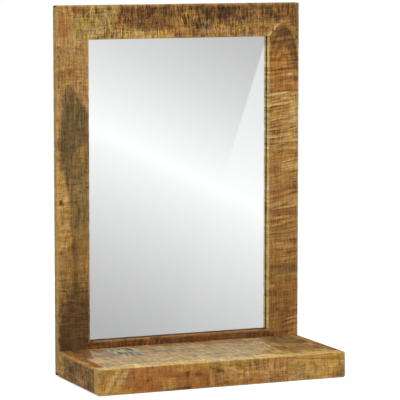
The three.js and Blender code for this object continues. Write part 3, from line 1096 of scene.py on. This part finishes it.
# %% The flame of the left upright
flame = [(-235, 547), (-218, 547), (-184, 490), (-174, 330), (-184, 225), (-217, 225), (-246, 440)]
tip = [(-230, 545), (-218, 545), (-188, 490), (-205, 470), (-232, 490)]
heart = [(-224, 482), (-190, 468), (-174, 400), (-176, 290), (-214, 290), (-234, 400)]
wood.stain(paint("6a5d3d"), flame)
wood.stain(BLACK_BROWN, tip, 0.35, marks=(40, 420))
wood.stain(paint("80653f"), heart, soft=8, fray=14)
wood.stain(TAN, [(-213, 460), (-192, 448), (-190, 405), (-204, 400)], 0.5, soft=6, fray=10)
wood.stain(GREY_BROWN, [(-240, 445), (-235, 450), (-226, 380), (-233, 384)], 0.55, soft=2)
wood.stain(DARK_BROWN, flame, 0.5, soft=4, fray=6, marks=(26, 330))
wood.stain(PALE, flame, 0.2, soft=4, fray=6, marks=(34, 300))
smoke = [(-234, 512), (-205, 518), (-184, 502), (-184, 455), (-215, 425), (-244, 405), (-247, 440)]
wood.stain(paint("5a4c30"), smoke, 0.45, soft=6, fray=6)
wood.stain(OLIVE, [(-205, 385), (-180, 385), (-180, 270), (-203, 270)], 0.45, soft=8, fray=10)
print("flame of the left upright:", len(wood.tree.nodes), "nodes so far")

# %% The foot of the left upright and the mitre at its top
wood.stain(paint("9c773e"), oblong(-262, -165, 120, 275), soft=30, fray=12)
wood.stain(paint("bf9552"), [(-249, 396), (-239, 388), (-226, 345), (-221, 250), (-247, 240)], 0.75)
wood.stain(PALE, [(-251, 480), (-247, 480), (-245, 380), (-249, 300)], 0.5)
wood.stain(RED_BROWN, [(-250, 342), (-244, 337), (-234, 328), (-250, 324)], 0.5, soft=2)
frame_knot(BLACK_BROWN, -243, 331, 3, 5, 0.8)
for height in (622, 605, 562, 549):
    frame_knot(DARK_BROWN, -246.5, height, 2.5, 3, 0.8)
wood.stain(DARK_BROWN, [(-218, 268), (-213, 268), (-206, 150), (-224, 150)], 0.55, soft=4, fray=4)
wood.stain(RED_BROWN, [(-200, 235), (-196, 235), (-194, 195), (-199, 195)], 0.45, soft=2, fray=3)
# Darker towards the foot: partly the wood's own colour, partly painted shade where the upright meets the
# shelf.
wood.stain(DARK_BROWN, [(-268, 95), (-236, 150), (-165, 162), (-165, -30), (-268, -30)], soft=22, fray=14)
wood.stain(BLACK_BROWN, oblong(-255, -180, 50, 190), 0.5, soft=18, marks=(400, 40))
wood.stain(BLACK_BROWN, [(-255, 98), (-225, 92), (-222, 45), (-255, 45)], 0.35, soft=8, fray=8)
wood.dashes(DARK_BROWN, 0.3)
wood.dashes(DARK_BROWN, 0.35, wide=30, tall=420)
wood.stain(paint("a48a4c"), oblong(-217, -180, 637, 705), 0.9, soft=1, fray=1)
wood.stain(BROWN, [(-214, 684), (-186, 684), (-186, 640), (-212, 640)], 0.5, marks=(60, 420))
wood.stain(paint("a8904e"), oblong(-254, -249, -10, 720), 0.7, soft=0.8, fray=0.3)
dress(left_stile, wood.finish(stroke=0.4, contrast=0.95))
print("left upright:", len(wood.tree.nodes), "nodes")

# %% [markdown]
# ## Right upright
#
# Orange-brown, with the clearest saw marks of all, which rise a little to the right. Darker and paler bands
# lie across it where the saw slowed down, and under the mitre the growth rings close to nested arches in a
# dark pointed patch. A wave texture could draw all bands at once, but evenly spaced like the lines of a
# ruler, so each band is a stain of its own.

# %% The top of the right upright
wood = WoodFinish("right_upright_wood", "Z", "X", "Y", 19, slant=-0.12)
wood.ground(BROWN, paint("9c7038"), paint("b48b50"), evenness=0.6)
mitre_tip = [(212, 705), (255, 705), (255, 655), (232, 655)]
wood.stain(ORANGE, [(187, 600), (205, 625), (226, 610), (234, 560), (187, 560)], 0.35, soft=8, fray=8)
wood.stain(BROWN, mitre_tip, 0.6, soft=4)
wood.stain(BLACK_BROWN, mitre_tip, 0.6, soft=4, marks=(60, 330))
wood.stain(BROWN, [(182, 640), (207, 664), (246, 640), (246, 615), (182, 610)], 0.65, soft=6)
wood.stain(DARK_BROWN, [(204, 640), (218, 664), (232, 640), (226, 632), (210, 632)], 0.55, soft=4, fray=6)
wood.stain(DARK_BROWN, [(226, 632), (252, 622), (252, 572), (238, 572)], 0.6, soft=5, fray=8)
wood.arches(DARK_BROWN, (0.2165, FRAME_MIDDLE, 0.568), (0.031, EVERYWHERE, 0.088), 3.5, 0.5)
wood.stain(PALE, [(236, 640), (241, 640), (253, 600), (249, 596)], 0.5, soft=2, fray=3)
frame_knot(BLACK_BROWN, 246, 647, 4, 3, 0.8)
frame_knot(BLACK_BROWN, 245, 633, 4, 3, 0.8)
frame_knot(CREAM, 230, 561, 7, 3, 0.45)
frame_knot(CREAM, 228, 544, 10, 2, 0.5)
frame_knot(BLACK_BROWN, 243, 553, 5, 4, 0.6)
print("top of the right upright:", len(wood.tree.nodes), "nodes so far")


# %% The bands of the right upright
def band(tone, left, right, height, strength, soft=2.0):
    """A band across the right upright, by the height of its middle at its left and right ends."""
    corners = [(180, left + height), (255, right + height), (255, right - height), (180, left - height)]
    wood.stain(tone, corners, strength, soft, 2.5)


band(RED_BROWN, 570, 572, 1.5, 0.5, 1)
band(ORANGE, 536, 538, 9, 0.35)
band(DARK_BROWN, 529, 530, 1, 0.6, 1)
band(CREAM, 523, 525, 3, 0.45)
band(ORANGE, 497, 510, 9, 0.25, 5)
wood.stain(CREAM, [(228, 515), (252, 515), (252, 430), (234, 430)], 0.4, soft=5, fray=6)
band(BROWN, 476, 486, 5, 0.4, 4)
band(PALE, 448, 449, 9, 0.4, 5)
band(BROWN, 436, 438, 1.2, 0.6, 1)
band(BROWN, 425, 426, 2, 0.6, 1)
band(ORANGE, 405, 408, 12, 0.3, 6)
band(RED_BROWN, 338, 342, 13, 0.3, 8)
wood.stain(RED_BROWN, oblong(195, 213, 315, 334), 0.35)
band(PALE, 306, 308, 6, 0.5, 4)
band(RED_BROWN, 294, 297, 6, 0.5, 3)
band(DARK_BROWN, 287, 289, 1.2, 0.5, 1)
wood.stain(RED_BROWN, [(196, 280), (218, 276), (216, 235), (198, 235)], 0.35, soft=4, fray=6)
band(BROWN, 250, 252, 18, 0.3, 8)
band(DARK_BROWN, 183, 185, 9, 0.5, 3)
band(OLIVE, 172, 173, 3, 0.6, 1.5)
frame_knot(CREAM, 193, 149, 6, 3, 0.7)
band(BROWN, 140, 142, 25, 0.3, 8)
wood.stain(BROWN, [(180, 110), (225, 110), (230, 0), (180, 0)], 0.4, soft=8)
wood.stain(CREAM, oblong(186, 252, 375, 522), 0.5, soft=6, marks=(230, 14))
wood.stain(CREAM, oblong(186, 252, 200, 375), 0.2, soft=6, marks=(230, 14))
# The lip of the glass rabbet is painted palest: partly a sanded arris, partly painted light on a face that
# the lamps leave in shade.
wood.stain(RUBBED_AND_HIGHLIGHT, oblong(180, 185.9, 0, 640), soft=0.5, fray=0.2)
dress(right_stile, wood.finish(saw=1.7, stroke=0.9, contrast=0.95))
print("right upright:", len(wood.tree.nodes), "nodes")

# %% [markdown]
# ## Top and bottom boards of the frame
#
# The top board is tan at its left end, then golden-olive, and from there on full of dark dashes, darkest a
# little right of the middle. A pale line runs down the right mitre. The dashes are noise inside a few large
# stains, because hundreds of small outlines would cost far more nodes. The bottom board only shows as a dark
# strip above the shelf, dark partly in its own colour and partly as painted shade in the corner there.

# %% Finish of the top board
wood = WoodFinish("top_board_wood", "X", "Z", "Y", 37)
wood.ground(BROWN, paint("9a733f"), paint("b48c50"))
wood.stain(paint("a88e52"), [(-200, 705), (-128, 705), (-135, 630), (-190, 630)], 0.75, soft=5)
wood.stain(PALE, [(-120, 655), (-20, 648), (-20, 630), (-130, 630)], 0.6, soft=4)
wood.stain(BROWN, [(-118, 695), (-10, 695), (-10, 655), (-70, 648), (-110, 665)], 0.6, soft=5, fray=8)
wood.stain(BROWN, [(20, 705), (150, 705), (135, 672), (35, 666)], 0.7, soft=6, fray=8)
wood.stain(GOLD, [(0, 690), (26, 690), (30, 650), (0, 655)], 0.3, soft=4)
wood.stain(ORANGE, [(45, 668), (175, 672), (185, 640), (160, 630), (50, 630)], 0.2, soft=5, fray=8)
wood.stain(BROWN, [(-60, 672), (215, 672), (190, 628), (-60, 628)], 0.3, soft=8, fray=8)
print("tones of the top board:", len(wood.tree.nodes), "nodes so far")

# %% The dark marks of the top board
middle_patch = [(-122, 697), (-8, 697), (-8, 655), (-60, 646), (-112, 655)]
right_patch = [(-20, 704), (170, 704), (145, 668), (35, 650), (0, 655)]
right_corner = [(150, 705), (255, 705), (255, 665), (200, 665), (160, 685)]
wood.stain(BROWN, [(140, 705), (255, 705), (255, 660), (215, 660), (150, 680)], 0.65, soft=4)
wood.stain(BLACK_BROWN, right_corner, 0.55, soft=5, fray=6, marks=(330, 55))
wood.dashes(DARK_BROWN, 0.8, spread=0.15)
wood.stain(BLACK_BROWN, middle_patch, 0.65, soft=5, fray=9, marks=(430, 75))
wood.stain(BLACK_BROWN, right_patch, 0.9, soft=5, fray=9, marks=(430, 70))
wood.stain(BLACK_BROWN, [(32, 662), (62, 662), (60, 651), (34, 651)], 0.75, soft=2.5, fray=6)
wood.stain(BLACK_BROWN, [(77, 692), (103, 690), (100, 672), (80, 672)], 0.65, fray=7)
wood.stain(CREAM, [(-135, 656), (-5, 650), (-5, 630), (-135, 630)], 0.45, soft=4, marks=(430, 80))
wood.stain(CREAM, oblong(40, 180, 630, 668), 0.3, soft=4, marks=(430, 80))
wood.stain(DARK_BROWN, oblong(-175, -148, 651, 664), 0.6, marks=(60, 400))
wood.stain(paint("af8249"), oblong(-255, -217, 640, 705), 0.95, soft=0.8, fray=0.5)
wood.stain(ORANGE, [(-255, 690), (-238, 684), (-226, 668), (-255, 655)], 0.45, soft=4)
wood.stain(RED_BROWN, [(-217, 698), (-190, 697), (-190, 686), (-215, 684)], 0.6, soft=2, fray=3)
wood.stain(paint("a48a4c"), [(-217, 684), (-190, 682), (-180, 630), (-217, 630)], 0.65, soft=2, fray=3)
wood.stain(CREAM, [(176, 633), (186, 633), (220, 667), (210, 667)], 0.5, soft=2.5, fray=3)
dress(top_rail, wood.finish(saw=1.5, stroke=0.35, contrast=1.2))
print("top board:", len(wood.tree.nodes), "nodes")

# %% Finish of the bottom board
wood = WoodFinish("bottom_board_wood", "X", "Z", "Y", 53)
# Dark ground: partly the board's own colour, partly painted shade in the corner between frame and shelf.
wood.ground(DARK_BROWN, paint("7a4a26"), paint("9c6a3a"))
wood.dashes(BLACK_BROWN, 0.6, wide=420)
dress(bottom_rail, wood.finish(saw=1.4))
print("bottom board:", len(wood.tree.nodes), "nodes")

# %% [markdown]
# ## The shelf's front
#
# Three lengths from three planks: the first with a golden slanting figure and orange wood, the second
# olive-tan with a cream streak, and the third paler. The thin dark lines between them are the joints. Each
# length has a finish with a seed of its own, because under one finish they would look like one long plank.

# %% Finish of the front's left length
# The top face and top arris of the shelf front are painted pale: partly sanded wear, partly a painted
# highlight along the edge.
SANDED_AND_HIGHLIT_EDGE = oblong(-255, 255, 48.4, 53)
wood = WoodFinish("front_left_wood", "X", "Z", "Y", 71)
wood.ground(BROWN, paint("a06c37"), GOLD)
wood.stain(GOLD, [(-265, 65), (-195, 65), (-205, -15), (-265, -15)], 0.75, soft=9, fray=8)
wood.stain(BROWN, [(-229, 55), (-218, 55), (-240, 22), (-247, 22)], 0.45, soft=2, fray=2)
wood.stain(CREAM, [(-213, 50), (-202, 50), (-234, -4), (-246, -4)], 0.5, soft=3.5, fray=4)
wood.stain(BROWN, [(-201, 50), (-196, 50), (-230, -4), (-236, -4)], 0.4, soft=2, fray=3)
wood.stain(CREAM, [(-194, 52), (-183, 52), (-216, 4), (-227, 4)], 0.45, soft=3.5, fray=4)
wood.stain(ORANGE, [(-188, 48), (-105, 48), (-100, 25), (-130, -5), (-200, -5)], 0.25, soft=10, fray=8)
wood.stain(GOLD, [(-106, 47), (-30, 47), (-30, 34), (-95, 36)], 0.65, soft=2.5, fray=3)
wood.stain(PALE, [(-127, 22), (-98, 24), (-98, 3), (-122, 3)], 0.45, fray=3)
wood.stain(RED_BROWN, [(-104, 33), (-72, 34), (-70, 24), (-95, 22)], 0.6, soft=2.5, fray=3)
wood.stain(RED_BROWN, [(-61, 32), (-49, 34), (-46, 26), (-58, 24)], 0.75, soft=1.5, fray=2)
wood.stain(ORANGE, [(-78, 16), (-44, 14), (-42, 6), (-76, 6)], 0.7, soft=2.5, fray=3)
wood.stain(BLACK_BROWN, [(-116, 5), (-80, 6), (-66, 7), (-66, -3), (-118, -3)], 0.75, soft=2, fray=2.5)
wood.stain(RUBBED_AND_HIGHLIGHT, SANDED_AND_HIGHLIT_EDGE, soft=0.8, fray=0.6)
wood.dashes(RED_BROWN, 0.4, wide=500)
dress(front_left, wood.finish(contrast=0.85, roughness=0.5))
print("left length:", len(wood.tree.nodes), "nodes")

# %% Finish of the front's middle and right lengths
wood = WoodFinish("front_middle_wood", "X", "Z", "Y", 83)
wood.ground(BROWN, TAN, PALE, evenness=0.8)
wood.stain(OLIVE, [(-30, 50), (95, 50), (60, 36), (-30, 36)], 0.4, fray=3)
wood.stain(RED_BROWN, [(-17, 34), (-1, 33), (1, 28), (-14, 27)], 0.75, soft=1.5, fray=2)
wood.stain(CREAM, [(5, 36), (12, 36), (53, 22), (46, 18)], 0.45, soft=2.5, fray=3)
wood.stain(ORANGE, [(92, 52), (131, 52), (131, 42), (96, 44)], 0.7, soft=1.5, fray=2)
wood.stain(RED_BROWN, [(96, 18), (110, 18), (110, 11), (97, 11)], 0.35, soft=2, fray=2)
wood.stain(DARK_BROWN, oblong(-18.3, -17.2, -2, 25), 0.6, soft=0.4, fray=0.3)
wood.stain(RUBBED_AND_HIGHLIGHT, SANDED_AND_HIGHLIT_EDGE, soft=0.8, fray=0.6)
wood.dashes(DARK_BROWN, 0.35, wide=500)
dress(front_middle, wood.finish(saw=1.2, roughness=0.5))

wood = WoodFinish("front_right_wood", "X", "Z", "Y", 97)
wood.ground(TAN, paint("bb9456"), PALE, evenness=0.8)
wood.stain(GOLD, [(128, 55), (255, 55), (255, 34), (128, 45)], 0.75, soft=1.2, fray=1.5)
wood.stain(BROWN, [(128, 46), (255, 35), (255, 33.5), (128, 44.5)], 0.6, soft=0.6, fray=0.8)
wood.stain(OLIVE, [(147, 36), (168, 34), (166, 24), (150, 25)], 0.35, fray=3)
wood.stain(RED_BROWN, [(234, 40), (239, 40), (238, 20), (235, 20)], 0.45, soft=1, fray=1)
wood.stain(paint("6e5330"), [(220, 16), (236, 28), (255, 26), (255, -5), (217, -5)], 0.5, soft=4, fray=4)
wood.stain(RUBBED_AND_HIGHLIGHT, SANDED_AND_HIGHLIT_EDGE, 0.5, soft=0.8, fray=0.6)
wood.dashes(BROWN, 0.4, wide=500)
dress(front_right, wood.finish(saw=0.8, roughness=0.5))
print("right length:", len(wood.tree.nodes), "nodes")

# %% [markdown]
# ## The shelf's ends, top and underside
#
# The top was waxed for use, so it is the glossiest face, and pale streaks run along it. Its tones are painted
# paler than the wood itself, as a painted sheen of the mirror's reflection on top of the real gloss, and the
# rear board's left end keeps a redder tone out to the slanting edge where that painted sheen stops. Its rear
# board is greyer, with a blue-grey knot near the left end. The left end board is darker and full of short
# black marks, and its upper arris is rubbed pale. The grain of the ends runs back to the wall, and so do the
# coordinates of their finish.

# %% Finish of the ends
wood = WoodFinish("left_end_wood", "Y", "Z", "X", 103)
wood.ground(DARK_BROWN, paint("98743f"), PALE)
wood.stain(PALE, [(62, 55), (100, 55), (100, -5), (72, -5)], 0.5, soft=5, fray=8)
wood.stain(BLACK_BROWN, [(12, 34), (36, 32), (34, 22), (14, 24)], 0.6, soft=2)
wood.stain(BLACK_BROWN, [(-69, 20), (-58, 20), (-60, 6), (-68, 6)], 0.6, soft=2)
wood.dashes(BLACK_BROWN, 0.75, wide=300, spread=0.2)
wood.knot(paint("9a6a38"), (-0.238, 0, SHELF_TOP), (0.012, EVERYWHERE, 0.003), 0.85, fray=0.1)
wood.knot(PALE, (-0.2485, 0, 0.0485), (0.0035, EVERYWHERE, 0.0035), 0.6, fray=0.2)
dress(left_end, wood.finish(saw=1.2, contrast=1.2, specular=0.05, worn=TAN))

wood = WoodFinish("right_end_wood", "Y", "Z", "X", 109)
wood.ground(BROWN, TAN, PALE)
wood.dashes(DARK_BROWN, 0.5)
dress(right_end, wood.finish(saw=0.9))
print("right end:", len(wood.tree.nodes), "nodes")

# %% Finish of the top and the underside
SHELF_ROUGHNESS = 0.38
SHELF_SPECULAR = 0.28
wood = WoodFinish("top_front_wood", "X", "Y", "Z", 127)
# Paler than the wood itself: painted sheen of the mirror's reflection, on top of the real gloss.
wood.ground(paint("ac8850"), paint("c8a86a"), paint("dcc48a"), evenness=0.8)
wood.stain(paint("a0622e"), [(142, 0), (232, 0), (232, -66), (175, -70), (145, -50)], soft=6, fray=9)
wood.stain(PALE, [(-232, -70), (235, -80), (235, -100), (-232, -100)], 0.5, soft=6)
wood.stain(BROWN, [(-232, 0), (232, 0), (232, -85), (-232, -80)], 0.5, marks=(34, 130))
wood.stain(CREAM, oblong(-232, 232, -100, 0), 0.6, marks=(16, 130))
# Pale strip at the front of the top: partly rubbed wood, partly a painted highlight along the front edge.
wood.stain(RUBBED_AND_HIGHLIGHT, [(-232, -85), (120, -89), (120, -100), (-232, -100)], 0.7)
wood.dashes(BROWN, 0.5, wide=260)
dress(top_front, wood.finish(saw=1.2, contrast=1.3, roughness=SHELF_ROUGHNESS, specular=SHELF_SPECULAR))

wood = WoodFinish("top_rear_wood", "X", "Y", "Z", 131)
# Paler than the wood itself: painted sheen of the mirror's reflection, on top of the real gloss.
wood.ground(paint("9c8058"), paint("bda074"), paint("d8c296"), evenness=0.8)
# The redder left end is the wood's own tone. Its slanting edge is where the painted sheen of the mirror's
# reflection stops.
wood.stain(RED_BROWN, [(-232, 98), (-189, 98), (-214, -5), (-232, -5)], 0.75, soft=2)
wood.stain(paint("7c5e32"), [(163, 90), (235, 98), (235, 0), (165, 5)], soft=6, fray=9)
wood.stain(BROWN, oblong(-105, 165, 0, 95), 0.55, soft=4, marks=(34, 110))
wood.stain(CREAM, oblong(-105, 165, 0, 95), 0.4, soft=4, marks=(26, 100))
wood.dashes(BROWN, 0.5, wide=260)
knot_patch = [(-162, 78), (-108, 76), (-106, 34), (-118, 2), (-146, -2), (-160, 30)]
wood.stain(paint("7d6355"), [(-192, 80), (-160, 80), (-158, 5), (-185, 0)], 0.55, soft=6, fray=10)
wood.stain(paint("bfc2ac"), knot_patch, 0.9, soft=2, fray=6)
wood.stain(paint("6e6a62"), [(-145, 36), (-112, 32), (-115, -4), (-142, -2)], 0.6, soft=5, fray=8)
wood.stain(BLACK_BROWN, knot_patch, 0.95, soft=2, fray=6, marks=(150, 22))
dress(top_rear, wood.finish(saw=1.2, contrast=1.3, roughness=SHELF_ROUGHNESS, specular=SHELF_SPECULAR))

wood = WoodFinish("underside_wood", "X", "Y", "Z", 139)
wood.ground(BROWN, TAN, GOLD)
dress(underside, wood.finish(saw=1.2, roughness=0.65))
print("shelf dressed")

# %% [markdown]
# ## The mirror
#
# A mirror is clear glass with silver on its back. Light bends in the glass, so the silver seems to lie at two
# thirds of its thickness, and past the edge of the frame one sees a thin dark line of the rabbet between the
# two. Here the silver lies at that apparent depth, and a faint gloss in front stands for the glass's surface.
# Real refraction would look the same and take far longer to render without noise.

# %% A sheet over the pane
PANE_FRONT = 104.0 * MM
SILVER_FRONT = 106.65 * MM
PANE_BACK = 108.0 * MM
THIN_GAP = 0.05 * MM
SILVER_EASE = 0.2 * MM
GLASS_EASE = 0.5 * MM
pane_low, pane_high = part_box("mirror_pane")


def pane(name, front, back, ease):
    """A sheet over the whole pane, with its edges ground off a little."""
    shape = bmesh.new()
    bmesh.ops.create_cube(shape, size=1)
    size = Vector((pane_high.x - pane_low.x, back - front, pane_high.z - pane_low.z))
    middle = Vector((0, (front + back) / 2, (pane_low.z + pane_high.z) / 2))
    placed = Matrix.Translation(middle) @ Matrix.Diagonal((*size, 1))
    bmesh.ops.transform(shape, matrix=placed, verts=shape.verts)
    bmesh.ops.bevel(shape, geom=shape.edges, offset=ease, segments=2, affect="EDGES", profile=0.5)
    made = object_from(name, shape)
    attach(made, "root")
    return made


print("pane", [round(v / MM, 1) for v in (pane_high - pane_low)], "mm")


# %% Silver and its glass
silver_material, tree = new_tree("silvering")
speck = place_on(tree).noise(9, 2)
silver = {
    "Base Color": speck.between((0.94, 0.945, 0.945, 1), (0.955, 0.96, 0.96, 1)),
    "Metallic": 1,
    "Roughness": 0.012 + speck * 0.006,
}
finish_principled(tree, silver)

glass_material, tree = new_tree("clear_glass")
glass = {
    "Base Color": (0.95, 0.965, 0.96, 1),
    "Metallic": 1,
    "Roughness": 0.01 + place_on(tree).noise(14, 3) * 0.03,
    "Alpha": 0.05,
}
finish_principled(tree, glass)

silvering = pane("mirror_silvering", SILVER_FRONT, PANE_BACK, SILVER_EASE)
dress(silvering, silver_material)
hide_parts("mirror_pane")
clear_front = pane("mirror_glass", PANE_FRONT, SILVER_FRONT - THIN_GAP, GLASS_EASE)
dress(clear_front, glass_material)
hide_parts("mirror_pane")
print("mirror made of", silvering.name, "and", clear_front.name)

# %% [markdown]
# ## The pieces that stay as the CAD made them
#
# Screws, keyhole plates, the panel behind the glass and the hidden joinery are exact already. They only need
# a finish: zinc-plated steel with a faint brushed grain, pressed hardboard with its screen pattern, and plain
# pale wood for what was never meant to be seen.

# %% Zinc-plated steel
steel_material, tree = new_tree("zinc_steel")
place = place_on(tree)
brushed = (place * (2600, 700, 260)).noise(1, 2)
cloudy = place.noise(160, 3)
steel = {
    "Base Color": cloudy.between(paint("a9a9a4"), paint("d2d1c8")),
    "Metallic": 1,
    "Roughness": 0.24 + cloudy * 0.14 + brushed * 0.12,
    "Normal": brushed.bump(0.3, 0.1 * MM),
}
finish_principled(tree, steel)
print("steel:", len(tree.nodes), "nodes")

# %% Hardboard and inner wood
SCREEN_PITCH = 1.6 * MM
hardboard_material, tree = new_tree("hardboard")
place = place_on(tree)
turns = (place * (2 * math.pi / SCREEN_PITCH)).split()
screen = turns.out("X").sine() * turns.out("Z").sine()
fibre = place.noise(240, 4)
tone = fibre * 0.6 + place.noise(12, 3) * 0.5 + screen * 0.08
hardboard = {
    "Base Color": tone.clamp().between(paint("4f3420"), paint("8f6844")),
    "Roughness": 0.7 + fibre * 0.2,
    "Normal": (screen * 0.5 + fibre).bump(0.5, 0.3 * MM),
    "Specular IOR Level": 0.3,
}
finish_principled(tree, hardboard)

inner = WoodFinish("inner_wood", "X", "Z", "Y", 151)
inner.ground(paint("a58450"), paint("c0a070"), paint("d4bb8e"))
inner_material = inner.finish(saw=0.5, contrast=0.6, roughness=0.7)
print("hardboard:", len(tree.nodes), "nodes, inner wood:", len(inner.tree.nodes), "nodes")

# %% Hand the finishes out
KEPT_PIECES = {
    ("shelf_screw", "panel_screw", "plate_screw", "keyhole_plate"): steel_material,
    ("backing_panel",): hardboard_material,
    ("corner_biscuit", "shelf_dowel", "shelf_cleat", "shelf_rib"): inner_material,
}
for starts, material in KEPT_PIECES.items():
    kept = [node for name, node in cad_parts.items() if name.startswith(starts)]
    for node in kept:
        node.material_slots[0].material = material
    print(len(kept), "CAD pieces in", material.name)

# %% [markdown]
# ## Reflections of the shelf
#
# The product is shown with nothing but the lit cloths in its mirror, so the shelf, with the joinery inside
# it, is left out of what glossy surfaces see. To the right, behind the frame, a dark card keeps the white
# room from shining in the waxed top where it looks past the mirror.

# %% Keep the shelf out of the mirror, and the glare off its right end
in_shelf = [node for name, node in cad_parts.items() if name.startswith("shelf_")]
for made in [*shelf_boards, *in_shelf]:
    made.visible_glossy = False

flag_material, tree = new_tree("dark_card")
finish_with(tree, Wire.node(tree, "ShaderNodeBsdfDiffuse", None, {"Color": (0.05, 0.045, 0.04, 1)}))
reflected_card("dark_card", 0.26, 1.6, 0.5, -0.1, 0.5, flag_material)
print("unseen in the mirror:", len(shelf_boards) + len(in_shelf), "pieces")
